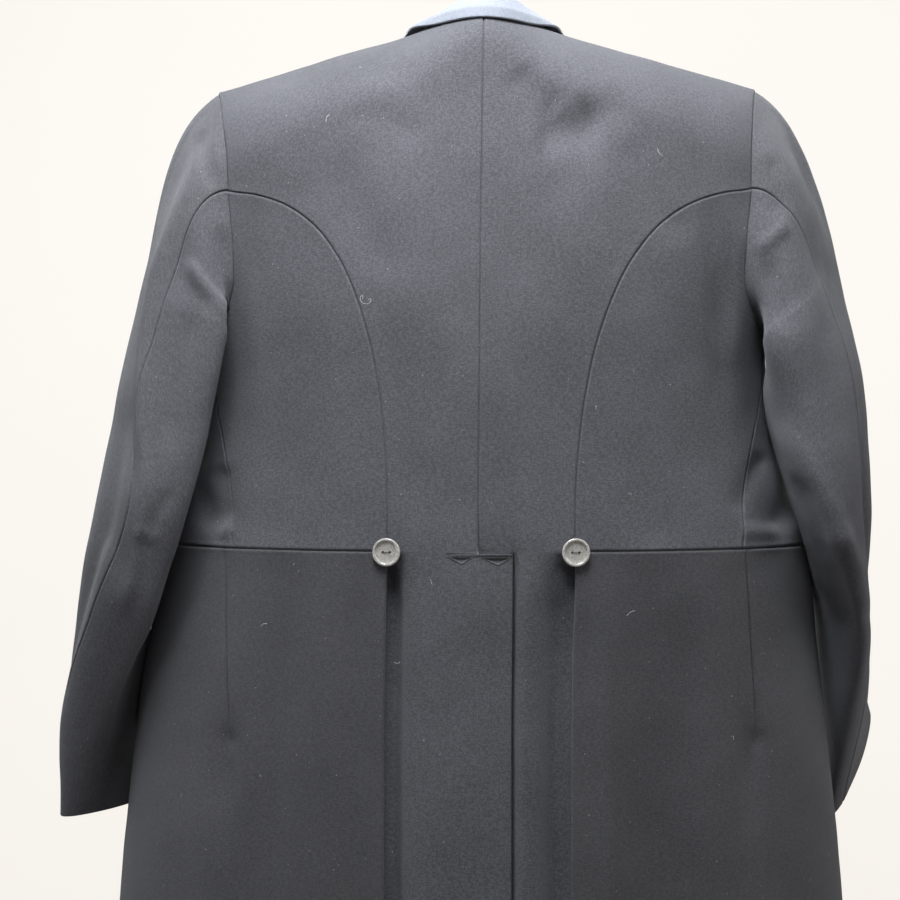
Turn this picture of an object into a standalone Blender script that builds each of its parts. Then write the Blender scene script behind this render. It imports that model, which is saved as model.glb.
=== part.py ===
"""Morning coat, hollow and filled out with no wearer, seen best from behind. Metres, +Z up.

The coat's back faces +Y, its opened fronts face -Y and its left side is +X. The origin is the centre of the
neck base. Every panel is its own closed cloth wall, cut along the tailor's seams of one shared body form.
"""

import bmesh
import bpy
import numpy as np
from mathutils import Matrix

NAME = "morning_coat"
CLOTH = 0.0022  # wall of the built-up worsted
SEAM = 0.00034  # space between two pieces at a seam
LAYER = CLOTH + 0.0003  # depth from one layer of cloth to the next

# Heights of the coat
NAPE = 0.002
WAIST = -0.4485
HEM = -1.055
BLADE_SPLIT = -0.085

# Shoulder
CREST_TOP = 0.0171
CREST_SLOPE = 0.283
CREST_SOFT = 0.03
CREST_DEPTH = 0.015
NECK_RISE = 0.022
NECK_WIDE = 0.033
NECK_HALF = 0.057
SHOULDER_HALF = 0.2367
ROLL = 0.060
ROLL_GROW = 0.105
CENTRE_WIDE = 0.120

# Centre back, vent and pleats
VENT_LAP = 0.028
UNDERLAP = 0.020
HOOK_DROP = 0.0022
PLEAT = 0.0776
PLEAT_RETURN = 0.022
PLEAT_DEEP = 0.0058
PLEAT_START = 0.013

# Buttons
BUTTON_R = 0.0117
BUTTON_THICK = 0.0034
BUTTON_RIM = 0.0022
BUTTON_DISH = 0.0009
BUTTON_SIDES = 40
BUTTON_LIFT = 0.00036  # back of a button above the cloth at its centre
BUTTON_WELD = 0.00002  # points of a button closer than this are made one
HOLE_R = 0.00105
HOLE_APART = 0.0058
HOLE_SIDES = 12
BACK_BUTTON_OUT = 0.0775
BACK_BUTTON_HEIGHT = -0.449
FRONT_BUTTON_TURN = 141.5
FRONT_BUTTON_HEIGHT = -0.436

# Columns and rows of cloth in each panel
ROWS_SEAM = 10
ROWS_BLADE = 4
COLS_NECK = 3
COLS_SHOULDER = 7
COLS_SIDE = 4
COLS_FORE = 10
ROWS_SCYE = 8
FORE_STEPS = 3
ROWS_TAIL = 7
ROWS_SKIRT = 10
ROWS_HEAD = 5
ROWS_ARM = 10


def table(names, rows):
    """Columns of a table, by name."""
    cells = np.array(rows, float)
    return {name: cells[:, i] for i, name in enumerate(names.split())}


# The body form: half width, depth of back and front, where its side lies, how square it is, and its lean
# at the sides and at the centre
FORM = table(
    "height half back front side square lean centre",
    [
        (-1.100, 0.344, 0.101, -0.120, -0.045, 2.00, 0.003, 0.004),
        (-0.900, 0.336, 0.103, -0.124, -0.045, 2.00, 0.003, 0.004),
        (-0.780, 0.3296, 0.105, -0.126, -0.045, 2.00, 0.003, 0.004),
        (-0.663, 0.3202, 0.107, -0.127, -0.045, 2.00, 0.0026, 0.004),
        (-0.590, 0.3122, 0.108, -0.127, -0.044, 2.00, 0.0024, 0.004),
        (-0.536, 0.3052, 0.109, -0.127, -0.043, 2.00, 0.001, 0.0036),
        (-0.490, 0.2975, 0.111, -0.126, -0.041, 2.02, -0.002, 0.0034),
        (-0.448, 0.2880, 0.112, -0.126, -0.038, 2.04, -0.004, 0.0033),
        (-0.410, 0.2770, 0.112, -0.127, -0.037, 2.08, -0.004, 0.003),
        (-0.364, 0.2610, 0.113, -0.128, -0.034, 2.14, -0.004, 0.0025),
        (-0.300, 0.2500, 0.115, -0.130, -0.026, 2.25, -0.004, 0.002),
        (-0.250, 0.2470, 0.117, -0.130, -0.015, 2.35, -0.0045, 0.0015),
        (-0.146, 0.2500, 0.115, -0.126, -0.008, 2.45, -0.0055, 0.0005),
        (-0.050, 0.2510, 0.106, -0.112, 0.004, 2.45, -0.003, -0.001),
        (0.060, 0.2500, 0.094, -0.100, 0.012, 2.40, -0.002, -0.002),
    ],
)

# Seams on the form: distance out from the centre, and height
SIDE_BACK = table(
    "out height",
    [
        (0.0772, -0.4485), (0.0775, -0.400), (0.0800, -0.360), (0.0850, -0.318), (0.0930, -0.278),
        (0.1050, -0.240), (0.1210, -0.207), (0.1420, -0.180), (0.1680, -0.161), (0.1960, -0.150),
        (0.2225, -0.1435),
    ],
)
SCYE_BACK = table("out height", [(0.2367, -0.0536), (0.2275, -0.084), (0.2235, -0.114), (0.2225, -0.1435)])
SCYE_UNDER = table(
    "turn height",
    [(60.1, -0.1435), (58.6, -0.197), (60.2, -0.231), (67.0, -0.254), (77.5, -0.264)],
)
SCYE_FRONT = table(
    "turn height",
    [
        (77.5, -0.264), (91.0, -0.268), (106.0, -0.258), (117.0, -0.232), (122.5, -0.190),
        (123.0, -0.145), (119.0, -0.095),
    ],
)
UNDERARM = table(
    "turn height",
    [(48.45, -0.4485), (51.8, -0.410), (60.0, -0.360), (70.0, -0.313), (77.5, -0.264)],
)
FRONT_LOW = table("turn height", [(147.0, -0.4485), (147.7, -0.417), (148.4, -0.385)])
FRONT_EDGE = table(
    "turn height",
    [(148.4, -0.385), (149.5, -0.340), (153.0, -0.250), (158.5, -0.130), (161.5, -0.050)],
)
CUTAWAY = table(
    "turn height",
    [
        (147.0, -0.4495), (143.0, -0.520), (135.0, -0.605), (124.0, -0.690), (110.0, -0.775),
        (93.0, -0.860),
        (73.0, -0.945), (54.0, -1.010), (40.0, -1.046), (33.0, -1.055),
    ],
)

# Where the columns of cloth meet the waist seam, out from the centre
BACK_WAIST = (0.0002, 0.0100, 0.0200, 0.0294, 0.0370, 0.0450, 0.0530, 0.0600, 0.0660, 0.0720, 0.0772)
SIDE_WAIST = (0.0772, 0.1060, 0.1420, 0.1800, 0.2165)

# Soft folds of the body: where each lies, which way it runs, its size, and how far it stands out
FOLDS = table(
    "out height lean_deg long wide rise",
    [
        (-0.205, -0.255, 4, 0.075, 0.012, -0.0050),
        (-0.232, -0.225, 4, 0.070, 0.012, 0.0024),
        (-0.072, -0.140, 25, 0.040, 0.020, -0.0028),
        (-0.262, -0.425, 30, 0.038, 0.014, -0.0050),
        (-0.262, -0.4385, 84, 0.030, 0.010, 0.0024),
        (0.235, -0.425, -30, 0.034, 0.014, -0.0045),
        (0.230, -0.4385, -84, 0.026, 0.010, 0.0022),
        (0.178, -0.660, 2, 0.180, 0.020, -0.0060),
        (0.118, -0.760, -1, 0.240, 0.018, 0.0040),
        (0.235, -0.800, 4, 0.150, 0.022, 0.0050),
        (0.222, -0.640, 0, 0.045, 0.012, -0.0035),
        (-0.148, -0.700, -2, 0.190, 0.022, -0.0060),
        (-0.105, -0.780, 0, 0.240, 0.016, 0.0035),
        (-0.232, -0.800, -4, 0.150, 0.022, 0.0050),
        (-0.226, -0.635, 0, 0.045, 0.012, -0.0035),
        (-0.058, -0.680, 0, 0.200, 0.010, -0.0030),
        (0.062, -0.700, 0, 0.220, 0.009, -0.0030),
        (-0.037, -0.760, 0, 0.240, 0.008, 0.0022),
    ],
)
FLARES = table(
    "turn start wave rise",
    [(75, -0.56, 30, 0.006), (108, -0.56, 24, -0.006), (-75, -0.58, 30, 0.006), (-108, -0.56, 24, -0.006)],
)

# Sleeve rings, down each arm: centre, half-axis to the outer edge, half-axis to the back, the two seams,
# and how far the ring bulges in and back over the body behind it
RING = "x y z out_x out_y out_z back_x back_y back_z hind fore hug_x hug_y"
LEFT_ARM = table(
    RING,
    [
        (0.2745, 0.016, -0.2430, 0.0235, 0.000, 0.0380, -0.016, 0.064, -0.008, 64, 232, -0.034, 0.012),
        (0.2820, 0.022, -0.3250, 0.0385, 0.000, 0.0150, -0.014, 0.064, 0.000, 60, 236, -0.019, 0.006),
        (0.3030, 0.028, -0.4200, 0.0345, 0.000, 0.0060, -0.010, 0.064, 0.000, 76, 238, -0.024, 0.000),
        (0.3265, 0.006, -0.5050, 0.0295, -0.001, 0.0020, -0.001, 0.063, -0.004, 66, 240, -0.024, 0.000),
        (0.3454, -0.033, -0.6000, 0.0236, -0.008, 0.0000, 0.019, 0.060, -0.004, 54, 240, -0.014, 0.000),
        (0.3500, -0.068, -0.6960, 0.0175, -0.012, 0.0000, 0.0315, 0.052, -0.002, 48, 240, 0.000, 0.000),
    ],
)
RIGHT_ARM = table(
    RING,
    [
        (0.2830, 0.016, -0.2430, 0.0280, 0.000, 0.0380, -0.018, 0.064, -0.008, 46, 232, -0.015, 0.010),
        (0.2905, 0.022, -0.3250, 0.0415, 0.000, 0.0130, -0.014, 0.064, 0.000, 37, 236, 0.000, 0.004),
        (0.3080, 0.020, -0.4200, 0.0305, 0.000, 0.0040, -0.013, 0.063, -0.010, 36, 238, 0.000, 0.000),
        (0.3228, -0.030, -0.5000, 0.0196, 0.000, 0.0040, 0.007, 0.057, -0.026, 40, 240, 0.000, 0.000),
        (0.3382, -0.076, -0.5800, 0.0208, 0.004, 0.0050, -0.009, 0.053, -0.027, 44, 240, 0.000, 0.000),
        (0.3530, -0.125, -0.6680, 0.0100, 0.0135, 0.0040, -0.028, 0.039, -0.045, 46, 240, 0.000, 0.000),
    ],
)
HUG_AT = 120
HUG_WIDE = 34

# How each sleeve leaves its armhole, by the angle of its column: along the body and out from it
LEAVE = table(
    "around ahead lift",
    [
        (0, 1.00, -0.25), (36, 0.90, 0.30), (72, 0.45, 0.90), (108, 0.25, 1.15), (144, 0.30, 1.15),
        (198, 0.35, 1.00), (250, 0.60, 0.60), (306, 0.90, 0.15), (360, 1.00, -0.25),
    ],
)

# Soft folds of the sleeves: arm side, place down the arm, place around it, size each way, and how far out
ARM_FOLDS = table(
    "side down around long wide rise",
    [
        (1, 0.16, 40, 0.09, 18, -0.0035),
        (1, 0.30, 62, 0.14, 14, 0.0030),
        (1, 0.24, 96, 0.08, 14, -0.0060),
        (1, 0.62, 30, 0.16, 20, 0.0030),
        (1, 0.66, 60, 0.16, 14, -0.0040),
        (-1, 0.18, 24, 0.07, 16, -0.0040),
        (-1, 0.28, 84, 0.08, 14, -0.0040),
        (-1, 0.60, 70, 0.10, 18, -0.0050),
        (-1, 0.70, 20, 0.16, 20, 0.0015),
    ],
)

# Collar: its fold section, from the neck seam up and over to the leaf edge, with the share of the wall
# that lies outside each point
COLLAR_SECTION = table(
    "off height cover",
    [
        (0.0000, 0.0012, 0.0), (0.0006, 0.0080, 0.5), (0.0016, 0.0130, 0.9), (0.0028, 0.0158, 1.0),
        (0.0041, 0.0166, 1.0), (0.0053, 0.0152, 1.0), (0.0061, 0.0110, 1.0), (0.0068, 0.0050, 1.0),
        (0.0077, -0.0020, 1.0), (0.0086, -0.0086, 1.0),
    ],
)
# Round the neck from the left front end to the right: its height, lean towards the neck, spread, and how
# far its leaf edge hangs
COLLAR_ROUND = table(
    "far rise lean spread drop",
    [
        (-1.00, 0.30, 0.0060, 1.30, 0.00), (-0.75, 0.33, 0.0100, 1.40, 0.00),
        (-0.50, 0.40, 0.0140, 1.45, 0.10), (-0.25, 0.58, 0.0115, 1.20, 0.75),
        (0.00, 0.80, 0.0060, 1.00, 1.00), (0.25, 0.76, 0.0075, 1.10, 0.75),
        (0.50, 0.46, 0.0125, 1.40, 0.10), (0.75, 0.35, 0.0100, 1.40, 0.00), (1.00, 0.30, 0.0060, 1.30, 0.00),
    ],
)
SLEEVE_IN = 0.0009
LAPEL_OFF = 0.0026
LAPEL_ROLL = 0.004
LAPEL_ROWS = 12
LAPEL_START = -0.410
LAPEL_END = 15
LAPEL = table(
    "up wide",
    [
        (0.00, 0.010), (0.20, 0.034), (0.45, 0.066), (0.66, 0.092), (0.74, 0.098), (0.80, 0.070),
        (0.90, 0.052), (1.00, 0.034),
    ],
)


def smooth(knots, values, at):
    """Soft curve through a table's values."""
    order = np.argsort(knots)
    knots, values = knots[order], values[order]
    slope = np.gradient(values, knots)
    at = np.clip(np.asarray(at, float), knots[0], knots[-1])
    i = np.clip(np.searchsorted(knots, at) - 1, 0, len(knots) - 2)
    gap = knots[i + 1] - knots[i]
    t = (at - knots[i]) / gap
    rise = (1 + 2 * t) * (1 - t) ** 2 * values[i] + t * t * (3 - 2 * t) * values[i + 1]
    lean = t * (1 - t) ** 2 * slope[i] - t * t * (1 - t) * slope[i + 1]
    return rise + gap * lean


def form(name, height):
    """One size of the body form at a height."""
    return smooth(FORM["height"], FORM[name], height)


def crest(out):
    """Height of the shoulder line at a distance out from the centre."""
    soft = np.sqrt(out**2 + CREST_SOFT**2)
    return CREST_TOP - CREST_SLOPE * soft + NECK_RISE * np.exp(-((out / NECK_WIDE) ** 2))


def roll(out):
    """Height over which the cloth rolls from the shoulder line to the back."""
    return ROLL + ROLL_GROW * out


def out_at(turn, height):
    """Distance out from the centre, at an angle around the form."""
    return form("half", height) * np.abs(np.sin(np.radians(turn))) ** (2 / form("square", height))


def fall(out, height):
    """Place down the cloth, 0 on the shoulder line and 1 where the roll ends."""
    reach = roll(out)
    drop = np.maximum(crest(out) - height, 0)
    inside = np.degrees(np.arccos(np.clip(1 - drop / reach, -1, 1))) / 90
    return np.where(drop < reach, inside, 1 + (drop - reach) / (reach * np.pi / 2))


def turn_at(out, height, front=False):
    """Angle around the form, from the centre back, of a distance out."""
    share = np.clip(np.abs(out) / form("half", height), 0, 1)
    turn = np.degrees(np.arcsin(share ** (form("square", height) / 2)))
    return 180 - turn if front else turn


def place(turn, down):
    """Point of the body form from its angle and its place down the cloth."""
    turn, down = np.broadcast_arrays(np.asarray(turn, float), np.asarray(down, float))
    height = np.full(turn.shape, -0.3)
    for _ in range(8):
        out = out_at(turn, height)
        reach = roll(out)
        drop = reach * (1 - np.cos(np.pi / 2 * np.minimum(down, 1)))
        height = crest(out) - drop - reach * np.pi / 2 * np.maximum(down - 1, 0)
    over = np.cos(np.radians(turn))
    bow = np.abs(over) ** (2 / form("square", height))
    side = form("side", height)
    deep = np.where(over >= 0, form("back", height) - side, form("front", height) - side)
    y = side + deep * bow
    y = CREST_DEPTH + (y - CREST_DEPTH) * np.sin(np.pi / 2 * np.minimum(down, 1))
    lean = form("lean", height)
    lean = lean + (form("centre", height) - lean) * np.exp(-((out / CENTRE_WIDE) ** 2))
    return np.stack([np.sign(turn) * out + lean, y, height], -1)


def unit(vectors):
    """Vectors of length one."""
    return vectors / np.maximum(np.linalg.norm(vectors, axis=-1, keepdims=True), 1e-12)


def relief(points, turn):
    """How far the soft folds stand out at each point."""
    total = np.zeros(points.shape[:-1])
    back = np.abs(turn) < 88
    for out, height, lean_deg, long, wide, rise in zip(*FOLDS.values()):
        lean = np.radians(lean_deg)
        dx = points[..., 0] - out
        dz = points[..., 2] - height
        across = dx * np.cos(lean) + dz * np.sin(lean)
        along = dz * np.cos(lean) - dx * np.sin(lean)
        total += np.where(back, rise * np.exp(-((across / wide) ** 2) - (along / long) ** 2), 0)
    for at, start, wave, rise in zip(*FLARES.values()):
        grow = np.clip((start - points[..., 2]) / 0.3, 0, 1)
        total += rise * grow**1.5 * np.exp(-(((turn - at) / wave) ** 2))
    fade = np.clip(np.abs(points[..., 2] - WAIST) / 0.02, 0, 1)
    return total * fade


def skin(turn, down):
    """Points of the folded body form and its outward directions."""
    turn, down = np.broadcast_arrays(np.asarray(turn, float), np.asarray(down, float))
    points = place(turn, down)
    around = place(turn + 0.2, down) - place(turn - 0.2, down)
    along = place(turn, down + 0.004) - place(turn, np.maximum(down - 0.004, 0))
    out = unit(np.cross(around, along))
    return points + out * relief(points, turn)[..., None], out


def knots_of(tab, side, front=False):
    """A seam table as angles and places down the cloth."""
    height = tab["height"]
    if "turn" in tab:
        turn = tab["turn"]
    else:
        turn = turn_at(tab["out"], height, front)
    return np.stack([side * turn, fall(out_at(turn, height), height)], -1)


def run(knots, count):
    """Even steps along a soft curve on the form."""
    spots = place(knots[:, 0], knots[:, 1])
    length = np.concatenate([[0], np.cumsum(np.linalg.norm(np.diff(spots, axis=0), axis=1))])
    fine = np.linspace(0, length[-1], 40 * (len(knots) - 1) + 1)
    dense = np.stack([smooth(length, knots[:, i], fine) for i in (0, 1)], -1)
    spots = place(dense[:, 0], dense[:, 1])
    length = np.concatenate([[0], np.cumsum(np.linalg.norm(np.diff(spots, axis=0), axis=1))])
    even = np.linspace(0, length[-1], count + 1)
    return np.stack([np.interp(even, length, dense[:, i]) for i in (0, 1)], -1)


def join(*runs):
    """Runs laid end to end, each shared point once."""
    return np.concatenate([runs[0]] + [r[1:] for r in runs[1:]])


def patch(bottom, top, first, last):
    """Grid of angles and places between four edges."""
    rows, cols = len(first), len(bottom)
    v = np.linspace(0, 1, rows)[:, None, None]
    u = np.linspace(0, 1, cols)[None, :, None]
    ruled = (1 - v) * bottom[None] + v * top[None] + (1 - u) * first[:, None] + u * last[:, None]
    low = (1 - u) * bottom[0] + u * bottom[-1]
    high = (1 - u) * top[0] + u * top[-1]
    return ruled - (1 - v) * low - v * high


def trim(outer, normal, inset):
    """Move a grid's edges in by half a seam, on each side named in inset."""
    outer = outer.copy()
    moves = np.zeros_like(outer)
    places = {
        "bottom": (np.s_[0, :], np.s_[1, :]),
        "top": (np.s_[-1, :], np.s_[-2, :]),
        "first": (np.s_[:, 0], np.s_[:, 1]),
        "last": (np.s_[:, -1], np.s_[:, -2]),
    }
    for side, amount in inset.items():
        edge, near = places[side]
        line = outer[edge]
        inward = unit(np.cross(normal[edge], unit(np.gradient(line, axis=0))))
        sign = np.sign((inward * (outer[near] - line)).sum(-1, keepdims=True))
        moves[edge] += inward * sign * amount
    return outer + moves


def cloth(grid, inset, depth=0.0):
    """Outer and inner faces of a panel from its grid of angles and places."""
    points, out = skin(grid[..., 0], grid[..., 1])
    points = points - out * np.broadcast_to(np.asarray(depth, float), points.shape[:-1])[..., None]
    points = trim(points, out, {side: SEAM / 2 for side in inset})
    return points, points - out * CLOTH


def wall(sheets, closed=False):
    """Vertices and faces of a closed wall over one or more outer and inner grids that share points."""
    index, verts, faces, edges = {}, [], [], {}

    def vertex(point):
        key = tuple(np.round(point, 7))
        if key not in index:
            index[key] = len(verts)
            verts.append(tuple(float(c) for c in point))
        return index[key]

    for outer, inner in sheets:
        rows, cols = outer.shape[:2]
        top = [[vertex(outer[i, j]) for j in range(cols)] for i in range(rows)]
        under = [[vertex(inner[i, j]) for j in range(cols)] for i in range(rows)]
        wrap = cols if closed else cols - 1
        for i in range(rows - 1):
            for j in range(wrap):
                k = (j + 1) % cols
                ring = [(top[i][j], under[i][j]), (top[i][k], under[i][k])]
                ring += [(top[i + 1][k], under[i + 1][k]), (top[i + 1][j], under[i + 1][j])]
                faces.append([a for a, _ in ring])
                faces.append([b for _, b in reversed(ring)])
                for (a, c), (b, d) in zip(ring, ring[1:] + ring[:1]):
                    if (b, a) in edges:
                        del edges[(b, a)]
                    else:
                        edges[(a, b)] = (c, d)
    for (a, b), (c, d) in edges.items():
        faces.append([b, a, c, d])
    return verts, faces


def material(name, color, roughness, sheen=0.0):
    """A plain Principled material."""
    mat = bpy.data.materials.new(name)
    mat.use_nodes = True
    shader = mat.node_tree.nodes["Principled BSDF"]
    shader.inputs["Base Color"].default_value = (*color, 1)
    shader.inputs["Roughness"].default_value = roughness
    shader.inputs["Sheen Weight"].default_value = sheen
    mat.diffuse_color = (*color, 1)
    return mat


def add(collection, name, shape, color, roughness=0.85, sheen=0.3):
    """Put one solid into the collection, its faces turned outward."""
    verts, faces = shape
    mesh = bpy.data.meshes.new(name)
    mesh.from_pydata(verts, [], faces)
    mesh.materials.append(material(name, color, roughness, sheen))
    tris = np.array([[f[0], f[i], f[i + 1]] for f in faces for i in range(1, len(f) - 1)])
    spots = np.array(verts)
    volume = np.einsum("ij,ij->i", spots[tris[:, 0]], np.cross(spots[tris[:, 1]], spots[tris[:, 2]])).sum()
    if volume < 0:
        mesh.flip_normals()
    mesh.update()
    obj = bpy.data.objects.new(name, mesh)
    collection.objects.link(obj)


def neck_edge(side, count):
    """The neck seam of a back, from the centre to the shoulder line."""
    out = np.linspace(0, NECK_HALF, 9)
    height = NAPE + (crest(NECK_HALF) - NAPE) * (out / NECK_HALF) ** 2
    knots = np.stack([side * turn_at(out, height), fall(out, height)], -1)
    knots[-1, 1] = 0
    return run(knots, count)


def shoulder_edge(side, count, front=False):
    """The shoulder seam, from the neck point out to the armhole."""
    out = np.linspace(NECK_HALF, SHOULDER_HALF, 5)
    turn = turn_at(out, crest(out), front)
    return run(np.stack([side * turn, 0 * turn], -1), count)


def scye_back(side):
    """Armhole edge of a back, from the side seam up to the shoulder."""
    knots = knots_of(SCYE_BACK, side)[::-1]
    knots[-1] = shoulder_edge(side, 1)[-1]
    return run(knots, ROWS_BLADE)


def scye_under(side):
    """Armhole edge of a side body, from the back seam to the underarm seam."""
    knots = knots_of(SCYE_UNDER, side)
    knots[0] = knots_of(SCYE_BACK, side)[-1]
    return run(knots, COLS_SIDE)


def scye_front(side):
    """Armhole edge of a forepart, from the underarm seam round to the shoulder."""
    tip = shoulder_edge(side, 1, True)[-1:]
    return run(np.concatenate([knots_of(SCYE_FRONT, side), tip]), ROWS_SCYE)


def level_edge(side, turns, height):
    """A run around the form at one height, through angles from the centre back."""
    turns = np.asarray(turns, float)
    return np.stack([side * turns, fall(out_at(turns, height), height)], -1)


def waist_turns(outs):
    """Angles of waist places from their distances out."""
    return turn_at(np.array(outs), WAIST)


def waist_run(side):
    """The waist seam from the side-back seam, by the underarm seam, to the front edge."""
    sides = waist_turns(SIDE_WAIST)
    fronts = np.linspace(sides[-1], FRONT_LOW["turn"][0], COLS_FORE + 1)
    return level_edge(side, np.concatenate([sides, fronts[1:]]), WAIST)


def back_shape(side):
    """A back with its tail, from the nape to the hem in one cut."""
    seam = run(knots_of(SIDE_BACK, side), ROWS_SEAM)
    arm = scye_back(side)
    zero = 1e-4 * side
    centre = lambda z: np.array([zero, fall(0.0, z)])
    low = run(np.array([centre(z) for z in np.linspace(WAIST, BLADE_SPLIT, 5)]), ROWS_SEAM)
    high = run(np.array([centre(z) for z in np.linspace(BLADE_SPLIT, NAPE, 4)]), ROWS_BLADE)
    top = join(neck_edge(side, COLS_NECK), shoulder_edge(side, COLS_SHOULDER))
    waist = level_edge(side, waist_turns(BACK_WAIST), WAIST)
    waist[0], waist[-1] = low[0], seam[0]
    grid = patch(waist, top, join(low, high), join(seam, arm))
    points, out = skin(grid[..., 0], grid[..., 1])
    points = trim(points, out, {"first": SEAM / 2, "last": SEAM / 2, "top": SEAM / 2})
    if side < 0:
        sink = np.zeros(points.shape[:-1])
        sink[0] = LAYER * np.clip((0.0370 - np.array(BACK_WAIST)) / 0.0076, 0, 1)
        points = points - out * sink[..., None]
    upper = (points, points - out * CLOTH)
    return wall([upper] + tail_sheets(side, points[0], upper[1][0]))


def tail_depth(side, out, height):
    """How far a tail lies under the form, at a distance out from the centre."""
    start = np.clip((WAIST - height) / PLEAT_START, 0, 1)
    near = np.clip((out - BACK_WAIST[7]) / (BACK_WAIST[10] - BACK_WAIST[7]), 0, 1)
    depth = PLEAT_DEEP * near**2 * (3 - 2 * near) * start
    if side < 0:
        depth = depth + LAYER * np.clip((BACK_WAIST[4] - out) / (BACK_WAIST[4] - BACK_WAIST[3]), 0, 1)
    return depth


def tail_sheets(side, waist_points, waist_inner):
    """The tail below the waist: its middle, its vent lap and its part under the pleat."""
    rows = WAIST - PLEAT_START + np.linspace(0, 1, ROWS_TAIL + 1) * (HEM - WAIST + PLEAT_START)
    heights = np.concatenate([[WAIST - HOOK_DROP], rows])
    lap = np.linspace(-VENT_LAP if side > 0 else -UNDERLAP, 0, 4)[:-1]
    under = PLEAT + np.linspace(0, 1, 3)[1:] * (PLEAT_RETURN - 0.003)

    def block(columns, levels):
        out, height = np.meshgrid(columns, levels)
        turn = np.sign(out) * side * turn_at(out, height)
        points, normal = skin(turn, fall(np.abs(out), height))
        points = points - normal * tail_depth(side, out, height)[..., None]
        return points, points - normal * CLOTH

    middle = block(np.array([*BACK_WAIST[:-1], BACK_WAIST[-1] - 0.0002]), heights)
    outer = np.concatenate([waist_points[None], middle[0]])
    inner = np.concatenate([waist_inner[None], middle[1]])
    sheets = [(outer, inner)]
    flap = block(lap, heights)
    sheets.append(tuple(np.concatenate([flap[k], middle[k][:, :1]], 1) for k in (0, 1)))
    tuck = block(under, heights[1:])
    sheets.append(tuple(np.concatenate([middle[k][1:, -1:], tuck[k]], 1) for k in (0, 1)))
    return [(outer[::-1], inner[::-1]) for outer, inner in sheets]


def side_shape(side):
    """A side body, between the curved back seam and the underarm seam."""
    seam = run(knots_of(SIDE_BACK, side), ROWS_SEAM)
    arm = run(knots_of(UNDERARM, side), ROWS_SEAM)
    waist = waist_run(side)[: COLS_SIDE + 1]
    waist[0], waist[-1] = seam[0], arm[0]
    grid = patch(waist, scye_under(side), seam, arm)
    return wall([cloth(grid, ("bottom", "top", "first", "last"))])


def forepart_grid(side):
    """Angles and places of a forepart."""
    arm = run(knots_of(UNDERARM, side), ROWS_SEAM)
    edge = np.concatenate([knots_of(FRONT_EDGE, side), shoulder_edge(side, 1, True)[:1]])
    front = join(run(knots_of(FRONT_LOW, side), ROWS_SEAM), run(edge, ROWS_SCYE))
    top = shoulder_edge(side, COLS_FORE, True)[::-1]
    waist = waist_run(side)[COLS_SIDE:]
    waist[0], waist[-1] = arm[0], front[0]
    return patch(waist, top, join(arm, scye_front(side)), front)


def forepart_shape(side):
    """A forepart, from the underarm seam round to the opened front edge."""
    return wall([cloth(forepart_grid(side), ("bottom", "top", "first"))])


def skirt_shape(side):
    """A skirt, its back edge folded under as the pleat and its front edge cut away to the hem."""
    top = waist_run(side)
    edge = run(knots_of(CUTAWAY, side), ROWS_SKIRT)
    heights = np.linspace(WAIST, HEM, 9)
    fold = PLEAT + LAYER
    back = run(np.stack([side * turn_at(fold, heights), fall(fold, heights)], -1), ROWS_SKIRT)
    top[0] = back[0]
    edge[0] = top[-1]
    hem_turns = np.abs([back[-1, 0], edge[-1, 0]])
    hem = level_edge(side, np.linspace(*hem_turns, COLS_SIDE + COLS_FORE + 1), HEM)
    hem[-1] = edge[-1]
    grid = patch(top, hem, back, edge)
    points, normal = skin(grid[..., 0], grid[..., 1])
    points = trim(points, normal, {"bottom": SEAM})
    base, out = points[:, 0], normal[:, 0]
    inward = unit(points[:, 1] - points[:, 0])
    small = (LAYER - CLOTH) / 2
    big = CLOTH + small
    outer_cols, inner_cols = [], []
    for shift in (PLEAT_RETURN, PLEAT_RETURN / 2):
        outer_cols.append(base + inward * shift - out * 2 * big)
        inner_cols.append(base + inward * shift - out * (big + small))
    for angle in (180, 135, 90, 45):
        s, c = np.sin(np.radians(angle)), np.cos(np.radians(angle))
        outer_cols.append(base - inward * big * s - out * big * (1 - c))
        inner_cols.append(base - inward * small * s - out * (big - small * c))
    outer = np.concatenate([np.stack(outer_cols, 1), points], 1)
    inner = np.concatenate([np.stack(inner_cols, 1), points - normal * CLOTH], 1)
    return wall([(outer, inner)])


def armhole(side):
    """The armhole's points from the shoulder by the back, under and front, with directions out and in."""
    loop = join(scye_back(side)[::-1], scye_under(side), scye_front(side))[:-1]
    points, out = skin(loop[:, 0], loop[:, 1])
    along = unit(np.roll(points, -1, 0) - np.roll(points, 1, 0))
    into = unit(np.cross(along, out))
    centre = points.mean(0)
    into = into * np.sign((into * (centre - points)).sum(-1, keepdims=True))
    return points, out, into


def ring_angles(hind, fore):
    """Angles of the columns around a ring, from the shoulder by the back."""
    top_back = np.linspace(0, hind, ROWS_BLADE + 1)
    under = np.linspace(hind, fore, COLS_SIDE + FORE_STEPS + 1)
    top_front = np.linspace(fore, 360, ROWS_SCYE - FORE_STEPS + 1)
    return join(top_back, under, top_front)[:-1]


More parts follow.
